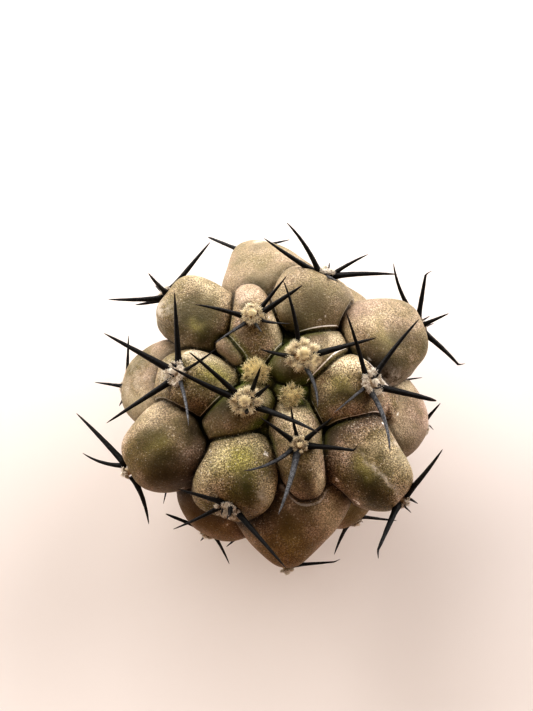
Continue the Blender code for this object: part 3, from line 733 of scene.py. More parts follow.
def skin_material():
    """Copiapoa epidermis, mealy with wax: light catches on its grain, and it gleams only a little."""
    made, tree, shader = new_material("copiapoa epidermis")
    place = add_node(tree, "TexCoord", {}, "Object")
    marks = {name: add_node(tree, "Attribute", {}, "Fac", attribute_name=name) for name in SKIN_MARKS}
    # Wax lies uneven over the chlorophyll, so the ground drifts from grey-olive to buff every 3 to 5 mm
    drift = add_node(
        tree, "TexNoise", {"Vector": place, "Scale": per_mm(4.5), "Detail": 4.0, "Roughness": 0.6}, "Fac",
    )
    ground = add_node(
        tree, "ValToRGB", {"Fac": drift}, "Color",
        stops=((0.34, "#58502D"), (0.48, "#746646"), (0.60, "#8F7E67"), (0.74, "#B2A08F")),
    )
    # Mauve shows in patches of about 2 mm on the flanks, 1 to 3 mm from a pressed edge
    patches = add_node(tree, "TexNoise", {"Vector": place, "Scale": per_mm(2.2), "Detail": 3.0}, "Fac")
    flank = add_node(
        tree, "MapRange", {"Value": marks["crease"], "From Min": 3.8, "From Max": 1.4}, "Result",
        interpolation_type="SMOOTHSTEP",
    )
    flank = add_node(tree, "Math", {0: flank, 1: 0.45}, operation="MULTIPLY")
    flank = add_node(tree, "Math", {0: flank, 1: marks["blush"]}, operation="MAXIMUM")
    cloudy = add_node(
        tree, "MapRange", {"Value": patches, "From Min": 0.3, "From Max": 0.65, "To Min": 0.2, "To Max": 0.8},
        "Result",
    )
    blush = add_node(tree, "Math", {0: flank, 1: cloudy}, operation="MULTIPLY")
    colour = add_node(
        tree, "Mix", {0: blush, 6: ground, 7: linear("#B0968A")}, 2, data_type="RGBA", clamp_factor=True,
    )
    # Where a tubercle was covered until lately it stays yellow-green, beside a dark olive, partly painted
    # shade
    patchy = add_node(
        tree, "MapRange", {"Value": patches, "From Min": 0.25, "From Max": 0.65, "To Min": 0.75}, "Result",
    )
    wax = add_node(tree, "Math", {0: marks["wax"], 1: patchy}, operation="MULTIPLY")
    # Pale wax, partly the skin's own and partly painted light where the lamps leave edges dark
    colour = add_node(tree, "Mix", {0: wax, 6: colour, 7: linear("#CFC0A2")}, 2, data_type="RGBA")
    # Dark olive, partly the skin's own and partly painted shade
    shade = add_node(tree, "Math", {0: marks["shade"], 1: patchy}, operation="MULTIPLY")
    colour = add_node(tree, "Mix", {0: shade, 6: colour, 7: linear("#302700")}, 2, data_type="RGBA")
    flush = add_node(tree, "Math", {0: marks["flush"], 1: patchy}, operation="MULTIPLY")
    colour = add_node(tree, "Mix", {0: flush, 6: colour, 7: linear("#A0985A")}, 2, data_type="RGBA")
    colour = add_node(tree, "Mix", {0: marks["tan"], 6: colour, 7: linear("#B6A48C")}, 2, data_type="RGBA")
    # Painted warm bounce light: reddish brown on the low side
    colour = add_node(tree, "Mix", {0: marks["russet"], 6: colour, 7: linear("#7E5518")}, 2, data_type="RGBA")
    # Cork on the oldest tubercles and the base, in dry streaks about 1 mm wide
    bark = add_node(
        tree, "TexNoise", {"Vector": place, "Scale": per_mm(1.1), "Detail": 5.0, "Roughness": 0.65}, "Fac",
    )
    cork = add_node(
        tree, "ValToRGB", {"Fac": bark}, "Color",
        stops=((0.30, "#4A3820"), (0.50, "#856A40"), (0.72, "#B09468")),
    )
    colour = add_node(tree, "Mix", {0: marks["cork"], 6: colour, 7: cork}, 2, data_type="RGBA")
    # Painted shade darkens the creases, and near the apex they keep their young green
    colour = add_node(tree, "Mix", {0: marks["bare"], 6: colour, 7: linear("#352611")}, 2, data_type="RGBA")
    colour = add_node(tree, "Mix", {0: marks["young"], 6: colour, 7: linear("#56601F")}, 2, data_type="RGBA")
    # Painted shadow at the bottom of each crease
    deep = add_node(
        tree, "MapRange", {"Value": marks["crease"], "From Min": 0.28, "From Max": 0.0, "To Max": 0.7},
        "Result",
    )
    colour = add_node(tree, "Mix", {0: deep, 6: colour, 7: linear("#1D180C")}, 2, data_type="RGBA")
    # Wax grains: real ones are 0.05 mm wide, drawn at 0.23 mm so that they show
    grain = add_node(
        tree, "TexNoise", {"Vector": place, "Scale": per_mm(0.23), "Detail": 2.0, "Roughness": 0.75}, "Fac",
    )
    speckle = add_node(
        tree, "ValToRGB", {"Fac": grain}, "Color",
        stops=((0.34, "#646058"), (0.50, "#B8B6B2"), (0.62, "#FFFFFF")),
    )
    # The meal lies thick in some places and thin in others, and thin on the dark, partly painted shade patches
    thick = add_node(
        tree, "MapRange", {"Value": drift, "From Min": 0.35, "From Max": 0.65, "To Min": 0.65, "To Max": 1.3},
        "Result",
    )
    meal = add_node(tree, "Math", {0: marks["mealy"], 1: thick}, operation="MULTIPLY")
    meal_kept = add_node(tree, "Math", {0: shade, 1: -0.9, 2: 1.0}, operation="MULTIPLY_ADD")
    meal = add_node(tree, "Math", {0: meal, 1: meal_kept}, operation="MULTIPLY")
    colour = add_node(
        tree, "Mix", {0: meal, 6: colour, 7: speckle},
        2, data_type="RGBA", blend_type="OVERLAY", clamp_factor=True,
    )
    glints = add_node(tree, "TexNoise", {"Vector": place, "Scale": per_mm(0.3), "Detail": 1.0}, "Fac")
    glints = add_node(tree, "MapRange", {"Value": glints, "From Min": 0.63, "From Max": 0.72}, "Result")
    glints = add_node(tree, "Math", {0: glints, 1: meal}, operation="MULTIPLY")
    glints = add_node(tree, "Math", {0: glints, 1: 0.45}, operation="MULTIPLY")
    colour = add_node(tree, "Mix", {0: glints, 6: colour, 7: linear("#EFE6D6")}, 2, data_type="RGBA")
    # Pale scurf lies in broken scales about 1 mm wide
    scales = add_node(tree, "MapRange", {"Value": bark, "From Min": 0.38, "From Max": 0.58}, "Result")
    scurf = add_node(tree, "Math", {0: scales, 1: marks["bloom"]}, operation="MULTIPLY")
    colour = add_node(tree, "Mix", {0: scurf, 6: colour, 7: linear("#D3C9BA")}, 2, data_type="RGBA")
    # Scuffs, and the dry lips of pressed edges with a partly painted highlight, show as broken off-white lines
    scuff_edge = add_node(tree, "Math", {0: bark, 1: marks["scuff"]}, operation="MULTIPLY")
    scuffs = add_node(tree, "MapRange", {"Value": scuff_edge, "From Min": 0.46, "From Max": 0.56}, "Result")
    from_lip = add_node(tree, "Math", {0: marks["crease"], 1: marks["setback"]}, operation="SUBTRACT")
    from_lip = add_node(tree, "Math", {0: from_lip}, operation="ABSOLUTE")
    lip = add_node(tree, "MapRange", {"Value": from_lip, "From Min": 0.18, "From Max": 0.08}, "Result")
    lip = add_node(tree, "Math", {0: lip, 1: marks["lip"]}, operation="MULTIPLY")
    breaks = add_node(tree, "MapRange", {"Value": bark, "From Min": 0.36, "From Max": 0.45}, "Result")
    lip = add_node(tree, "Math", {0: lip, 1: breaks}, operation="MULTIPLY")
    scuffs_and_lip_highlight = add_node(tree, "Math", {0: lip, 1: scuffs}, operation="MAXIMUM")
    colour = add_node(tree, "Mix", {0: scuffs_and_lip_highlight, 6: colour, 7: linear("#FFFBF4")}, 2, data_type="RGBA")
    tree.links.new(colour, shader.inputs["Base Color"])
    dull = add_node(
        tree, "MapRange", {"Value": patches, "From Min": 0.3, "From Max": 0.7, "To Min": 0.42, "To Max": 0.58},
        "Result",
    )
    tree.links.new(dull, shader.inputs["Roughness"])
    shader.inputs["IOR"].default_value = 1.45
    shader.inputs["Specular IOR Level"].default_value = 0.32
    shader.inputs["Sheen Weight"].default_value = 0.05
    shader.inputs["Sheen Roughness"].default_value = 0.4
    shader.inputs["Sheen Tint"].default_value = linear("#F6E6E0")
    relief = add_node(tree, "Bump", {"Height": grain, "Strength": 1.0, "Distance": 0.16 * MM}, "Normal")
    ripple = add_node(tree, "TexNoise", {"Vector": place, "Scale": per_mm(1.3), "Detail": 2.0}, "Fac")
    relief = add_node(
        tree, "Bump", {"Height": ripple, "Strength": 0.5, "Distance": 0.25 * MM, "Normal": relief}, "Normal",
    )
    cracks = add_node(tree, "Math", {0: marks["cork"], 1: bark}, operation="MULTIPLY")
    relief = add_node(
        tree, "Bump", {"Height": cracks, "Strength": 0.9, "Distance": 0.5 * MM, "Normal": relief}, "Normal",
    )
    tree.links.new(relief, shader.inputs["Normal"])
    return made


def spine_material():
    """Horn of dead hard cells: nearly black and satin when young, and chalky grey from weathering and painted
    sheen.
    """
    made, tree, shader = new_material("black horn spine")
    place = add_node(tree, "TexCoord", {}, "Object")
    grey = add_node(tree, "Attribute", {}, "Fac", attribute_name="grey")
    point = add_node(tree, "Attribute", {}, "Fac", attribute_name="point")
    # Scales of the outer cells lift in bits about 0.3 mm wide
    scales = add_node(
        tree, "TexNoise", {"Vector": place, "Scale": per_mm(0.33), "Detail": 3.0, "Roughness": 0.65}, "Fac",
    )
    black = add_node(
        tree, "ValToRGB", {"Fac": scales}, "Color",
        stops=((0.38, "#080707"), (0.56, "#131211"), (0.72, "#2A2826")),
    )
    chalk = add_node(
        tree, "ValToRGB", {"Fac": scales}, "Color",
        stops=((0.36, "#232324"), (0.52, "#4A4B4D"), (0.70, "#7C7D80")),
    )
    colour = add_node(tree, "Mix", {0: grey, 6: black, 7: chalk}, 2, data_type="RGBA")
    colour = add_node(tree, "Mix", {0: point, 6: colour, 7: linear("#38291D")}, 2, data_type="RGBA")
    tree.links.new(colour, shader.inputs["Base Color"])
    shader.inputs["Roughness"].default_value = 0.5
    shader.inputs["IOR"].default_value = 1.45
    shader.inputs["Specular IOR Level"].default_value = 0.3
    relief = add_node(tree, "Bump", {"Height": scales, "Strength": 0.9, "Distance": 0.14 * MM}, "Normal")
    tree.links.new(relief, shader.inputs["Normal"])
    return made


def wool_material(name, felt, fleece):
    """Areole wool, fine dead plant hair: dull felt at the root, bright loose fleece on top, partly painted
    light.
    """
    made, tree, shader = new_material(name)
    place = add_node(tree, "TexCoord", {}, "Object")
    lift = add_node(tree, "Attribute", {}, "Fac", attribute_name="lift")
    locks = add_node(tree, "TexNoise", {"Vector": place, "Scale": per_mm(0.7), "Detail": 2.0}, "Fac")
    height = add_node(tree, "Math", {0: locks, 1: -0.5}, operation="ADD")
    height = add_node(tree, "Math", {0: height, 1: 0.9, 2: lift}, operation="MULTIPLY_ADD")
    colour = add_node(tree, "ValToRGB", {"Fac": height}, "Color", stops=((0.12, felt), (0.66, fleece)))
    tree.links.new(colour, shader.inputs["Base Color"])
    shader.inputs["Roughness"].default_value = 0.9
    shader.inputs["IOR"].default_value = 1.35
    shader.inputs["Sheen Weight"].default_value = 0.5
    return made


def placed(name, data):
    """A new object in the scene."""
    made = bpy.data.objects.new(name, data)
    bpy.context.scene.collection.objects.link(made)
    return made


def finish_piece(mesh, name, coating, nodes):
    """Makes the mesh an object of the head that stands for the named solids."""
    piece = placed(name, mesh)
    mesh.name = name
    mesh.materials.clear()
    mesh.materials.append(coating)
    mesh.shade_smooth()
    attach(piece, BODY)
    if nodes:
        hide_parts(*nodes)
    return piece


def points_of(mesh):
    """The mesh's vertices in millimetres."""
    flat = np.empty(len(mesh.vertices) * 3, np.float32)
    mesh.vertices.foreach_get("co", flat)
    return flat.reshape(-1, 3).astype(float) / MM


def normals_of(mesh):
    flat = np.empty(len(mesh.vertices) * 3, np.float32)
    mesh.vertex_normals.foreach_get("vector", flat)
    return flat.reshape(-1, 3).astype(float)


def set_points(mesh, points):
    mesh.vertices.foreach_set("co", (points * MM).astype(np.float32).ravel())
    mesh.update()


def set_attribute(mesh, name, values):
    made = mesh.attributes.new(name, "FLOAT", "POINT")
    made.data.foreach_set("value", np.asarray(values, np.float32))


def mesh_from(bm, name):
    """A new mesh made from the bmesh, which is freed."""
    mesh = bpy.data.meshes.new(name)
    bm.to_mesh(mesh)
    bm.free()
    return mesh


def triangulate_large(bm):
    """Cuts faces with more than four corners into triangles."""
    bmesh.ops.triangulate(bm, faces=[face for face in bm.faces if len(face.verts) > 4])


def unit_sphere(fineness):
    """An icosphere of radius 1 mm."""
    bm = bmesh.new()
    bmesh.ops.create_icosphere(bm, subdivisions=fineness, radius=MM)
    return mesh_from(bm, "sphere")


def applied(made):
    """The object's mesh with its modifiers applied; the object is removed."""
    mesh = bpy.data.meshes.new_from_object(made.evaluated_get(bpy.context.evaluated_depsgraph_get()))
    old = made.data
    bpy.data.objects.remove(made)
    bpy.data.meshes.remove(old)
    return mesh


def swollen_object(tubercle, sphere):
    """One tubercle, shaped from a sphere."""
    mesh = sphere.copy()
    set_points(mesh, tubercle.centre + in_world(tubercle, swollen(tubercle, points_of(mesh))))
    return bpy.data.objects.new(tubercle.name, mesh)


def fused_body(fineness, fine_age):
    """The tubercles, the inner flesh and the base joined in one skin, with sharp creases where they press."""
    spheres = {True: unit_sphere(fineness), False: unit_sphere(fineness - 1)}
    group = bpy.data.collections.new("tubercles")
    bpy.context.scene.collection.children.link(group)
    for tubercle in (*GROWN_TUBERCLES, BASE, FOLD):
        group.objects.link(swollen_object(tubercle, spheres[tubercle.age <= fine_age]))
    body = swollen_object(GROWN_CORE, spheres[True])
    bpy.context.scene.collection.objects.link(body)
    union = body.modifiers.new("One body", "BOOLEAN")
    union.operation = "UNION"
    union.operand_type = "COLLECTION"
    union.collection = group
    union.solver = "MANIFOLD"
    mesh = applied(body)
    for other in list(group.objects):
        old = other.data
        bpy.data.objects.remove(other)
        bpy.data.meshes.remove(old)
    bpy.data.collections.remove(group)
    for sphere in spheres.values():
        bpy.data.meshes.remove(sphere)
    return mesh


def clean_skin(mesh, closest, floor):
    """Merges the slivers along the creases and cuts the resting spot flat."""
    bm = bmesh.new()
    bm.from_mesh(mesh)
    bmesh.ops.remove_doubles(bm, verts=bm.verts, dist=closest * MM)
    everything = [*bm.verts, *bm.edges, *bm.faces]
    bmesh.ops.bisect_plane(
        bm, geom=everything, plane_co=(0, 0, floor * MM), plane_no=(0, 0, -1), clear_outer=True,
    )
    rim = [edge for edge in bm.edges if edge.is_boundary]
    bmesh.ops.contextual_create(bm, geom=rim)
    triangulate_large(bm)
    bmesh.ops.recalc_face_normals(bm, faces=bm.faces)
    bm.to_mesh(mesh)
    bm.free()


def waves(points, sizes, seed):
    """Smooth random relief from -1 to 1, made of waves of the given lengths in random directions."""
    dice = np.random.default_rng(seed)
    total = np.zeros(len(points))
    for size in sizes:
        across = dice.normal(size=3)
        across /= np.linalg.norm(across)
        total += np.sin(points @ across * (2 * math.pi / size) + dice.uniform(0, 2 * math.pi))
    return total / len(sizes)


def bell(value, width):
    """1 at zero, falling to near 0 at twice the width."""
    return np.exp(-(value / width) ** 2)


def rise_between(value, low, high):
    """0 below low, 1 above high, and smooth between."""
    share = np.clip((value - low) / (high - low), 0, 1)
    return share * share * (3 - 2 * share)


def towards_apex(tubercle):
    """The directions over a tubercle's skin from its areole towards the apex, and across that."""
    level = np.array((tubercle.place[0], tubercle.place[1], 0.0))
    wanted = UPWARD - level / np.linalg.norm(level)
    inward = wanted - (wanted @ tubercle.out) * tubercle.out
    inward /= np.linalg.norm(inward)
    return inward, np.cross(tubercle.out, inward)


def paint_patches(shares, mine, body, planned, points):
    """Adds one tubercle's colour patches to the shares of its own points."""
    from_areole = points[mine] - body.place
    inward, across = towards_apex(planned)
    sideways = from_areole @ across
    away = np.linalg.norm(from_areole, axis=1) * np.sign(from_areole @ inward)
    wander = PATCH_WANDER * waves(points[mine], PATCH_WAVES, SEED + body.age)
    for patch in PATCHES.get(body.name, USUAL_PATCHES if body.age >= UNLISTED_PATCHES_AGE else ()):
        lengthways = bell(away - patch.away + wander, patch.length)
        crossways = bell(sideways - patch.across - wander, patch.width)
        share = patch.strength * (lengthways * crossways)
        shares[patch.kind][mine] = np.maximum(shares[patch.kind][mine], share)


def per_crease(skin, table, usual):
    """For each point the table's value for its own body and the one that presses it, or the usual value."""
    values = np.full((len(SKIN_NAMES), len(SKIN_NAMES)), usual)
    for (pressed, presser), value in table.items():
        values[SKIN_NAMES.index(pressed), SKIN_NAMES.index(presser)] = value
    return values[skin.owner, skin.neighbour]


def on_side(side, points):
    """The side's share, where points lie far enough to that side of the plant."""
    return side.share * rise_between(points @ direction(side.bearing, side.rise), side.start, side.full)


def mark_wax(skin, shares, looks):
    """Marks the dry lips, the scuffs and how thick the meal of wax lies."""
    lips = per_crease(skin, LIPS, looks.lip_trace)
    shares["lip"] = lips * rise_between(skin.points[:, 2], *LIP_HEIGHTS)
    shares["setback"] = per_crease(skin, SETBACKS, LIP_OFFSET)
    scuffed = rise_between(waves(skin.points, *SCUFFS), *SCUFF_LEVELS)
    offset = bell(skin.crease - SCUFF_OFFSET, SCUFF_REACH)
    shares["scuff"] = scuffed * offset * (skin.ages >= SCUFF_AGE)
    usual = np.interp(SKIN_AGES, MEAL_AGES, MEAL_SHARES)
    mealy = [MEALINESS.get(name, meal) for name, meal in zip(SKIN_NAMES, usual)]
    shares["mealy"] = np.array(mealy)[skin.owner]


def mark_crease_shade_and_green(skin, shares):
    """Marks the painted shade in the creases, and the skin that keeps its young green."""
    radius = np.hypot(skin.points[:, 0], skin.points[:, 1])
    near_apex = rise_between(radius, *APEX_RADII)
    shaded = 1 - SHADED_SIDE.share + on_side(SHADED_SIDE, skin.points)
    overhung = per_crease(skin, OVERHUNG, OVERHUNG_USUAL)
    # Painted shade in the creases, darker on the shaded side and under an overhang
    bare = CREASE_SHADE_SHARE * shaded * bell(skin.crease, CREASE_SHADE_REACH) * (1 - near_apex)
    bare = np.maximum(bare, OVERHUNG_SHARE * (overhung > OVERHUNG_LEAST) * bell(skin.crease, overhung))
    unwaxed = 1 - WAX_COVER * shares["wax"]
    shares["bare"] = bare * unwaxed
    between = GREEN_SHARE * bell(skin.crease, GREEN_REACH) * near_apex
    lowest = rise_between(radius, *GREEN_RADII) * rise_between(GREEN_TOP - skin.points[:, 2], *GREEN_DEPTHS)
    lowest = lowest * (skin.ages < GREEN_AGE)
    kept = np.array([GREENNESS.get(name, 0.0) for name in SKIN_NAMES])[skin.owner]
    shares["young"] = np.maximum(np.maximum(between * unwaxed, lowest), kept)
    folded = skin.owner == SKIN_NAMES.index("fold")
    shares["blush"][folded] = FOLD_BLUSH
    shares["young"][folded] *= FOLD_GREEN


def mark_cork_tan_and_bounce(skin, shares):
    """Marks the cork that climbs from the base, the tan side above it, and the low side's painted warm bounce.
    """
    edge = CORK_TOP - skin.points[:, 2] + CORK_UNEVEN * waves(skin.points, *CORK_EDGE)
    shares["cork"] = rise_between(edge, *CORK_DEPTHS)
    shares["tan"] = on_side(TAN_SIDE, skin.points) * (1 - shares["cork"])
    shares["russet"] = on_side(PAINTED_BOUNCE_SIDE, skin.points) * (1 - shares["cork"])


def skin_relief(skin, shares, looks):
    """How far the skin stands out at each point, or sinks in below zero."""
    push = -looks.crease_depth * bell(skin.crease, looks.crease_width)
    raised = looks.lip_height * (shares["setback"] == LIP_OFFSET)
    push += raised * bell(skin.crease - shares["setback"], LIP_WIDTH) * shares["lip"]
    push += looks.unevenness * waves(skin.points, *DENTS) * rise_between(skin.crease, *DENT_MARGIN)
    push += -AREOLE_DEPTH * bell(skin.to_areole, AREOLE_REACH)
    push += shares["cork"] * CORK_RELIEF * waves(skin.points, *CORK_CRACKS)
    return push


def shape_skin(mesh, looks):
    """Presses the creases in, sinks the areoles, and marks the zones that the colours follow."""
    points = points_of(mesh)
    gaps = np.stack([gap_to(body, points) for body in SKIN_BODIES])
    order = np.argsort(gaps, axis=0)
    owner, neighbour = order[0], order[1]
    crease, next_crease = np.maximum(np.take_along_axis(gaps, order[1:3], axis=0), 0)
    merged = np.zeros(len(points), bool)
    for first, second in MERGED:
        merged |= (owner == SKIN_NAMES.index(first)) & (neighbour == SKIN_NAMES.index(second))
    filled = looks.fill_depth * bell(crease, looks.fill_width)
    filled = np.where(merged, looks.merge_depth * bell(crease, looks.merge_width), filled)
    crease = np.where(merged, next_crease, crease)
    shares = {name: np.zeros(len(points)) for name in SKIN_MARKS}
    shares["crease"] = np.minimum(crease, FARTHEST_CREASE)
    to_areole = np.full(len(points), FARTHEST_AREOLE)
    for number, (body, planned) in enumerate(zip(GROWN_TUBERCLES, TUBERCLES)):
        mine = owner == number
        to_areole[mine] = np.linalg.norm(points[mine] - body.place, axis=1)
        paint_patches(shares, mine, body, planned, points)
    skin = Skin(points, owner, neighbour, SKIN_AGES[owner], crease, to_areole)
    mark_wax(skin, shares, looks)
    mark_crease_shade_and_green(skin, shares)
    mark_cork_tan_and_bounce(skin, shares)
    push = skin_relief(skin, shares, looks)
    settled = rise_between(points[:, 2], *RESTING_HEIGHTS)
    outward = points - CORE_CENTRE
    outward /= np.linalg.norm(outward, axis=1, keepdims=True)
    pushed = points + normals_of(mesh) * (push * settled)[:, None]
    set_points(mesh, pushed + outward * (filled * settled)[:, None])
    for name, values in shares.items():
        set_attribute(mesh, name, values)


def unit_cone(sides, top, cuts):
    """A cone 1 mm high and 1 mm in radius at its foot, cut into rings at these shares of its height."""
    bm = bmesh.new()
    bmesh.ops.create_cone(
        bm, cap_ends=True, segments=sides, radius1=MM, radius2=top * MM, depth=MM,
        matrix=Matrix.Translation((0, 0, 0.5 * MM)),
    )
    for share in cuts:
        everything = [*bm.verts, *bm.edges, *bm.faces]
        bmesh.ops.bisect_plane(bm, geom=everything, plane_co=(0, 0, share * MM), plane_no=(0, 0, 1))
    return bm


def unit_horn(sides, rings):
    """A pointed cone with rings closer together towards its point."""
    bm = unit_cone(sides, 0.0, [1 - (1 - ring / rings) ** RING_CROWDING for ring in range(1, rings)])
    triangulate_large(bm)
    return mesh_from(bm, "horn")


def unit_hair():
    """One plant hair, a three-sided thread with two bends, 1 mm long."""
    return mesh_from(unit_cone(3, HAIR_TAPER, HAIR_BENDS), "hair")


def copies(*wanted):
    """One mesh that holds so many copies of each mesh."""
    bm = bmesh.new()
    for mesh, count in wanted:
        for _ in range(count):
            bm.from_mesh(mesh)
    return mesh_from(bm, "copies")


def arch(share):
    """0 at both ends and 1 in the middle."""
    return 4 * share * (1 - share)


def bent_horn(shape, tubercle, toward, spine, number, dice):
    """The unit horn's points as one spine: full and ridged, then run out to its point, blunt end or hook."""
    sideways = toward - (toward @ tubercle.out) * tubercle.out
    tip = foot_of(tubercle) + toward * spine.length
    foot = tubercle.place + sideways * ROOT_SPREAD - tubercle.out * ROOT_DEPTH
    toward = (tip - foot) / np.linalg.norm(tip - foot)
    spine = spine._replace(length=np.linalg.norm(tip - foot))
    share = shape[:, 2]
    away = np.hypot(shape[:, 0], shape[:, 1])
    on_axis = away < TINY
    away = np.where(on_axis, 1.0, away)
    around = np.arctan2(shape[:, 1], shape[:, 0])
    if (tubercle.name, number) in BLUNT:
        full = np.sqrt(np.maximum(0.0, 1 - share ** BLUNT_CURVE)) * (1 - BLUNT_TAPER * share)
    else:
        full = np.maximum(0.0, 1 - share) ** HORN_TAPER
    swell = 1 + FOOT_SWELL * bell(share * spine.length, FOOT_SWELL_REACH)
    ridge = np.cos(dice.choice(RIDGE_COUNTS) * around + dice.uniform(*PHASES) + RIDGE_TWIST * share)
    ridge = 1 + RIDGE_DEPTH * ridge
    often, seldom = KNOT_RATES
    knots = np.sin(share * spine.length * often + dice.uniform(*PHASES))
    knots = 1 + KNOT_DEPTH * knots * np.sin(share * spine.length * seldom)
    radius = SLIMNESS * spine.thickness / 2 * full * swell * ridge * knots
    turn = np.array(Vector(toward).to_track_quat("Z", "Y").to_matrix())
    ring = np.stack((shape[:, 0] / away * radius, shape[:, 1] / away * radius, np.zeros(len(shape))), axis=1)
    ring[(share > AT_POINT) | on_axis] = 0.0
    left = np.cross(UPWARD, toward)
    left /= np.linalg.norm(left)
    bend = arch(share) * spine.length
    middle = share[:, None] * spine.length * toward + left * (spine.bow * bend)[:, None]
    middle[:, 2] += dice.uniform(*SAGS) * bend
    curl = math.radians(HOOKED.get((tubercle.name, number), 0.0))
    late = np.maximum(0.0, share - HOOK_START) * spine.length
    middle += left * (late * math.sin(curl))[:, None] - toward * (late * (1 - math.cos(curl)))[:, None]
    return foot + middle + ring @ turn.T


def buds_of(tubercle):
    """Spine tips just through the wool, or stubs on an older areole: directions with a Spine's sizes."""
    dice = random.Random(f"buds {tubercle.name}")
    count = BUDS.get(tubercle.name, 0)
    grey = STUB_GREY if tubercle.age >= STUB_AGE else 0.0
    found = []
    for number in range(count):
        turn = 2 * math.pi * number / count + dice.uniform(*BUD_TURNS)
        lean = math.radians(dice.uniform(*BUD_LEANS) * BUD_LEAN)
        toward = leaning(tubercle, turn, lean)
        length = dice.uniform(*BUD_LENGTHS)
        thickness = dice.uniform(*BUD_THICKNESSES)
        found.append((toward, Spine(0, 0, length, thickness, 0.0, grey)))
    return found


def grow_spines(tubercle, plan, horn, coating, nodes):
    """All the spines of one areole, in one piece."""
    dice = random.Random(f"spines {tubercle.name}")
    mesh = copies((horn, len(plan)))
    shape = points_of(horn)
    points = [
        bent_horn(shape, tubercle, toward, spine, number, dice) for number, (toward, spine) in enumerate(plan)
    ]
    set_points(mesh, np.concatenate(points))
    share = shape[:, 2]
    # Grey from weathering, and painted sheen on the young spines that point towards the camera
    grey = [spine.grey * np.minimum(1.0, share * GREY_RISE + GREY_AT_FOOT) for _, spine in plan]
    set_attribute(mesh, "grey", np.concatenate(grey))
    set_attribute(mesh, "point", np.tile(BROWN_SHARE * rise_between(share, BROWN_FROM, 1.0), len(plan)))
    return finish_piece(mesh, f"horn_{tubercle.name}", coating, nodes)


def hair_points(shape, roots, tips, bends, thickness):
    """The unit hair's points laid from each root to each tip, bent between, in one row for each hair."""
    share = shape[:, 2]
    along = tips - roots
    length = np.linalg.norm(along, axis=1, keepdims=True)
    first = np.cross(along / length, HAIR_SIDE)
    first /= np.linalg.norm(first, axis=1, keepdims=True)
    second = np.cross(along / length, first)
    points = roots[:, None] + along[:, None] * share[:, None] + bends[:, None] * arch(share)[:, None]
    points += first[:, None] * shape[:, :1] * thickness[:, None, None]
    points += second[:, None] * shape[:, 1:2] * thickness[:, None, None]
    return points


def scattered(dice, count):
    """Directions all over a sphere."""
    toward = dice.normal(size=(count, 3))
    return toward / np.linalg.norm(toward, axis=1, keepdims=True)


def tuft_turns(headings, spacing, dice):
    """The angles round an areole where its outer tufts stand: between the spines, which part the wool."""
    headings = sorted(heading % (2 * math.pi) for heading in headings)
    if not headings:
        count = round(2 * math.pi / spacing)
        return 2 * math.pi / count * (np.arange(count) + dice.uniform(*FREE_TURN_SPREAD, count))
    turns = []
    for first, last in zip(headings, (*headings[1:], headings[0] + 2 * math.pi)):
        count = max(1, round((last - first) / spacing))
        if last - first > NARROWEST_GAP * spacing:
            turns += [first + (last - first) * (number + 0.5) / count for number in range(count)]
    return np.array(turns) + dice.uniform(*TURN_SPREAD, len(turns))


def place_tufts(headings, tufts, radius, height, dice):
    """The middles and the sizes of an areole's tufts, with the knob last."""
    turn = tuft_turns(headings, math.radians(tufts.spacing), dice)
    if not headings:
        turn = np.concatenate((turn, turn + INNER_TURN))
    count = len(turn)
    reach = tufts.reach * radius * dice.uniform(*REACH_SPREAD, count)
    if not headings:
        reach[count // 2:] *= INNER_REACH
    level = height * (TUFT_RISE - TUFT_FALL * (reach / radius) ** 2) * dice.uniform(*LEVEL_SPREAD, count)
    centres = np.stack((np.cos(turn) * reach, np.sin(turn) * reach, level), axis=1)
    centres = np.concatenate((centres, [(0.0, 0.0, KNOB_RISE * height)]))
    sizes = tufts.radius * radius * dice.uniform(*RADIUS_SPREAD, len(centres))
    sizes[-1] *= KNOB_SWELL
    return centres, sizes


def curly_hairs(shape, count, centres, sizes, tufts, looks, dice):
    """The points and the brightness of hairs that stand out all round from the tufts."""
    pick = dice.choice(len(centres), count, p=sizes ** 2 / (sizes ** 2).sum())
    knob = (pick == len(centres) - 1)[:, None]
    toward = scattered(dice, count)
    toward[:, 2] = np.abs(toward[:, 2] + HAIR_DROOP) - HAIR_DROOP
    outward = centres[pick] / np.linalg.norm(centres[pick], axis=1, keepdims=True)
    stray = toward + outward * tufts.flare + dice.normal(size=(count, 3)) * tufts.stray
    stray /= np.linalg.norm(stray, axis=1, keepdims=True)
    size = sizes[pick][:, None]
    roots = centres[pick] + toward * size * HAIR_ROOT
    length = dice.uniform(SHORTEST_HAIR, tufts.length, (count, 1)) * np.where(knob, KNOB_HAIR, 1.0)
    tips = centres[pick] + toward * size * HAIR_FLARE_START + stray * size * length
    bends = dice.normal(size=(count, 3)) * looks.curl
    thickness = looks.hair_thickness / 2 * dice.uniform(*THICKNESS_SPREAD, count)
    points = hair_points(shape, roots, tips, bends, thickness).reshape(-1, 3)
    lift = (ROOT_LIFT + TIP_LIFT * shape[:, 2]) * (TUFT_LIFT + KNOB_GAIN * knob) + KNOB_LIFT * knob
    return points, lift.ravel()


def felt_cores(shape, centres, sizes, radius, height, seed):
    """The points and the brightness of the lumpy felt in each tuft, and last of the bed under them all."""
    shares = np.full(len(sizes), FELT_SHARE)
    shares[-1] = KNOB_FELT_SHARE
    points = []
    for centre, size in zip((*centres, (0.0, 0.0, 0.0)), (*(sizes * shares), radius * FELT_BED_SHARE)):
        lumps = 1 + FELT_LUMPS * waves(shape + centre, FELT_WAVES, seed)
        points.append(centre + shape * lumps[:, None] * (size, size, min(size, height * FELT_FLATNESS)))
    lift = np.full(len(points), FELT_LIFT)
    lift[len(centres) - 1] = KNOB_FELT_LIFT
    return np.concatenate(points), np.repeat(lift, len(shape))


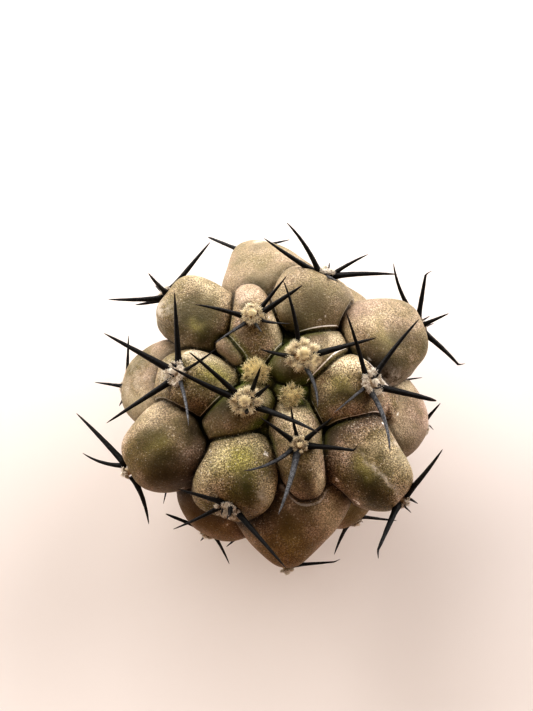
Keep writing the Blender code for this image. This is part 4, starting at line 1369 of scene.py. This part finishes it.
def grow_wool(tubercle, plan, looks, tufts, coating, hair, felt):
    """The wool of one areole: tufts of short curly hair, parted by the spines, round a knob in the middle."""
    radius, height = WOOL_SIZES[min(tubercle.age, len(WOOL_SIZES) - 1)]
    radius *= FULLNESS.get(tubercle.name, 1.0 if tubercle.age <= FULL_WOOL_AGE else OLD_FULLNESS)
    dice = np.random.default_rng([SEED, tubercle.age, SIDES.index(tubercle.name[-1])])
    side = np.cross(tubercle.out, WOOL_SIDE)
    side /= np.linalg.norm(side)
    axes = np.stack((side, np.cross(tubercle.out, side), tubercle.out))
    headings = [math.atan2(toward @ axes[1], toward @ axes[0]) for toward, _ in plan]
    centres, sizes = place_tufts(headings, tufts, radius, height, dice)
    count = int(looks.hairs * (radius / HAIRS_RADIUS) ** 2)
    hairs, hair_lift = curly_hairs(points_of(hair), count, centres, sizes, tufts, looks, dice)
    cores, core_lift = felt_cores(points_of(felt), centres, sizes, radius, height, SEED + tubercle.age)
    local = np.concatenate((hairs, cores))
    mesh = copies((hair, count), (felt, len(centres) + 1))
    set_points(mesh, tubercle.place + local @ axes)
    lift = np.concatenate((hair_lift, core_lift)) * (LEVEL_LIFT + HEIGHT_LIFT * (local[:, 2] / height))
    set_attribute(mesh, "lift", lift)
    return finish_piece(mesh, f"tuft_{tubercle.name}", coating, [f"wool_{tubercle.name}"])


class SkinSettings(bpy.types.PropertyGroup):
    """Sizes of the skin's relief and colour zones. Plain numbers are millimetres."""

    fineness: IntProperty(
        name="Tubercle Fineness", description="Subdivisions of each tubercle", default=6, min=3, max=6,
    )
    fine_age: IntProperty(
        name="Fine Up To", description="Older tubercles are one step less fine", default=5, min=0,
    )
    closest: FloatProperty(
        name="Closest Points", description="Points closer than this merge, in mm", default=0.03,
    )
    floor: FloatProperty(
        name="Flat Spot", description="Height that the resting spot is cut at, in mm", default=0.0,
    )
    crease_depth: FloatProperty(name="Crease Depth", description="How deep creases cut, in mm", default=0.32)
    crease_width: FloatProperty(name="Crease Width", description="How wide creases open, in mm", default=0.28)
    fill_depth: FloatProperty(
        name="Fill Depth", description="How far creases are filled by pressed flesh, in mm", default=0.12,
    )
    fill_width: FloatProperty(
        name="Fill Width", description="How far from a crease its filling reaches, in mm", default=0.9,
    )
    merge_depth: FloatProperty(
        name="Merge Depth", description="Filling between merged tubercles, in mm", default=1.1,
    )
    merge_width: FloatProperty(name="Merge Width", description="Reach of that filling, in mm", default=1.3)
    lip_height: FloatProperty(name="Lip Height", description="How far the lips stand up, in mm", default=0.08)
    unevenness: FloatProperty(name="Unevenness", description="Height of the broad dents, in mm", default=0.32)
    lip_trace: FloatProperty(name="Lip Trace", description="Strength of the lips on other edges", default=0.0)


class GrowthSettings(bpy.types.PropertyGroup):
    """Fineness and number of the spines' faces and the wool's hairs. Plain numbers are millimetres."""

    spine_sides: IntProperty(name="Spine Sides", description="Sides of each spine", default=11, min=5)
    spine_rings: IntProperty(name="Spine Rings", description="Rings along each spine", default=16, min=4)
    hairs: IntProperty(name="Hairs", description="Hairs in wool of 2 mm radius", default=2000, min=50)
    curl: FloatProperty(name="Curl", description="How far a hair's middle strays, in mm", default=0.10)
    hair_thickness: FloatProperty(
        name="Hair Thickness", description="Thickness of a hair, in mm", default=0.068,
    )


class StageSettings(bpy.types.PropertyGroup):
    """Camera and lights. Plain numbers are millimetres or degrees."""

    elevation: FloatProperty(name="Camera Elevation", description="Degrees above the horizon", default=75.0)
    distance: FloatProperty(name="Camera Distance", description="From the apex, in mm", default=240.0)
    key: FloatProperty(name="Key Light", description="Power of the key light in watts", default=3.0)
    side: FloatProperty(name="Side Light", description="Power of the side light in watts", default=2.8)
    left: FloatProperty(name="Left Light", description="Power of the left light in watts", default=1.3)
    fill: FloatProperty(name="Fill Light", description="Power of the fill light in watts", default=0.75)
    sky: FloatProperty(name="Sky", description="Strength of the soft light all round", default=0.05)
    floor_colour: FloatVectorProperty(
        name="Floor", description="Colour of the floor", subtype="COLOR", size=4, default=linear("#E2DCD7"),
    )


class CACTUS_OT_skin(bpy.types.Operator):
    """Grow the swollen skin over the stem"""

    bl_idname = "cactus.skin"
    bl_label = "Skin"

    def execute(self, context):
        looks = context.scene.copiapoa_skin
        mesh = fused_body(looks.fineness, looks.fine_age)
        clean_skin(mesh, looks.closest, looks.floor)
        shape_skin(mesh, looks)
        finish_piece(mesh, "epidermis", skin_material(), ["stem"])
        return {"FINISHED"}


class CACTUS_OT_spines(bpy.types.Operator):
    """Grow the black spines of every areole that has them"""

    bl_idname = "cactus.spines"
    bl_label = "Spines"

    def execute(self, context):
        looks = context.scene.copiapoa_growth
        coating = spine_material()
        horn = unit_horn(looks.spine_sides, looks.spine_rings)
        for tubercle in TUBERCLES:
            planned = SPINE_PLANS[tubercle.name]
            nodes = [f"spines_{tubercle.name}"] if planned else []
            plan = planned + buds_of(tubercle) + listed(FINE_SPINES, tubercle)
            if plan:
                grow_spines(tubercle, plan, horn, coating, nodes)
        bpy.data.meshes.remove(horn)
        return {"FINISHED"}


class CACTUS_OT_wool(bpy.types.Operator):
    """Grow a tuft of wool on every areole"""

    bl_idname = "cactus.wool"
    bl_label = "Wool"

    def execute(self, context):
        looks = context.scene.copiapoa_growth
        apex = (APEX_TUFTS, wool_material("apex areole wool", "#7A6838", "#FBEBB8"))
        young = (YOUNG_TUFTS, wool_material("young cream areole wool", "#7E5C2C", "#FFF3D2"))
        old = (OLD_TUFTS, wool_material("weathered areole wool", "#A38F70", "#FFF8EA"))
        finishes = (apex, young, young)
        hair = unit_hair()
        felt = unit_sphere(2)
        for tubercle in TUBERCLES:
            tufts, coating = finishes[tubercle.age] if tubercle.age < len(finishes) else old
            grow_wool(tubercle, SPINE_PLANS[tubercle.name], looks, tufts, coating, hair, felt)
        bpy.data.meshes.remove(hair)
        bpy.data.meshes.remove(felt)
        return {"FINISHED"}


def aim(made, forward, up):
    """Turns a camera or light to look along forward."""
    right = Vector(forward).cross(Vector(up)).normalized()
    true_up = right.cross(Vector(forward)).normalized()
    turned = Matrix((right, true_up, -Vector(forward))).transposed().to_4x4()
    made.matrix_world = Matrix.Translation(made.location) @ turned


def add_camera(scene, stage):
    """Frames the head as the photograph does, steeply from above."""
    rise = math.radians(stage.elevation)
    forward = Vector((0.0, math.cos(rise), -math.sin(rise)))
    up = Vector((0.0, math.sin(rise), math.cos(rise)))
    sideways = (AIM_PIXEL[0] - IMAGE_WIDTH / 2) / PIXELS_PER_MM
    downward = (AIM_PIXEL[1] - IMAGE_HEIGHT / 2) / PIXELS_PER_MM
    place = Vector((0.0, 0.0, AIM_HEIGHT)) - forward * stage.distance
    place += up * downward - Vector((1.0, 0.0, 0.0)) * sideways
    data = bpy.data.cameras.new("camera")
    data.sensor_width = SENSOR
    data.lens = PIXELS_PER_MM * stage.distance / IMAGE_HEIGHT * SENSOR
    data.clip_start = MM
    camera = placed("camera", data)
    camera.location = place * MM
    aim(camera, forward, up)
    scene.camera = camera


def add_floor(colour):
    """Lays a wide plain floor under the head."""
    bm = bmesh.new()
    bmesh.ops.create_grid(bm, x_segments=1, y_segments=1, size=FLOOR_SIZE)
    mesh = mesh_from(bm, "floor")
    floor = placed("floor", mesh)
    made, _, shader = new_material("matt white paper")
    shader.inputs["Base Color"].default_value = colour
    shader.inputs["Roughness"].default_value = 0.9
    mesh.materials.append(made)


def add_lamps(stage):
    """Hangs the soft lamps round the head, each with the power that the stage gives it."""
    for lamp in LAMPS:
        data = bpy.data.lights.new(lamp.name, "AREA")
        data.size = lamp.size
        data.energy = getattr(stage, lamp.name)
        data.color = linear(lamp.colour)[:3]
        light = placed(lamp.name, data)
        toward = Vector(direction(lamp.bearing, lamp.rise))
        light.location = Vector(LAMP_AIM) + toward * lamp.distance
        aim(light, -toward, UPWARD)


class CACTUS_OT_stage(bpy.types.Operator):
    """Set the pale floor, the soft lights and the camera"""

    bl_idname = "cactus.stage"
    bl_label = "Stage"

    def execute(self, context):
        scene = context.scene
        stage = scene.copiapoa_stage
        add_camera(scene, stage)
        add_floor(stage.floor_colour)
        add_lamps(stage)
        world = bpy.data.worlds.new("soft box")
        world.use_nodes = True
        background = world.node_tree.nodes["Background"]
        background.inputs["Color"].default_value = linear("#FFFAF6")
        background.inputs["Strength"].default_value = stage.sky
        scene.world = world
        scene.view_settings.view_transform = "Standard"
        scene.view_settings.look = "High Contrast"
        return {"FINISHED"}


class CACTUS_PT_panel(bpy.types.Panel):
    """Lists the steps that build the head"""

    bl_label = "Copiapoa"
    bl_idname = "CACTUS_PT_panel"
    bl_space_type = "VIEW_3D"
    bl_region_type = "UI"
    bl_category = "Copiapoa"

    def draw(self, context):
        layout = self.layout
        scene = context.scene
        for settings in (scene.copiapoa_skin, scene.copiapoa_growth, scene.copiapoa_stage):
            box = layout.box()
            for name in settings.__annotations__:
                box.prop(settings, name)
        for operator in OPERATORS:
            layout.operator(operator.bl_idname)


SETTINGS = {
    "copiapoa_skin": SkinSettings,
    "copiapoa_growth": GrowthSettings,
    "copiapoa_stage": StageSettings,
}
OPERATORS = (CACTUS_OT_skin, CACTUS_OT_spines, CACTUS_OT_wool, CACTUS_OT_stage)


def register():
    for name, settings in SETTINGS.items():
        bpy.utils.register_class(settings)
        setattr(bpy.types.Scene, name, PointerProperty(type=settings))
    for shown in (*OPERATORS, CACTUS_PT_panel):
        bpy.utils.register_class(shown)


def unregister():
    for shown in reversed((*OPERATORS, CACTUS_PT_panel)):
        bpy.utils.unregister_class(shown)
    for name, settings in reversed(SETTINGS.items()):
        delattr(bpy.types.Scene, name)
        bpy.utils.unregister_class(settings)


def main():
    register()
    bpy.ops.cactus.skin()
    bpy.ops.cactus.spines()
    bpy.ops.cactus.wool()
    bpy.ops.cactus.stage()


if __name__ == "__main__":
    main()
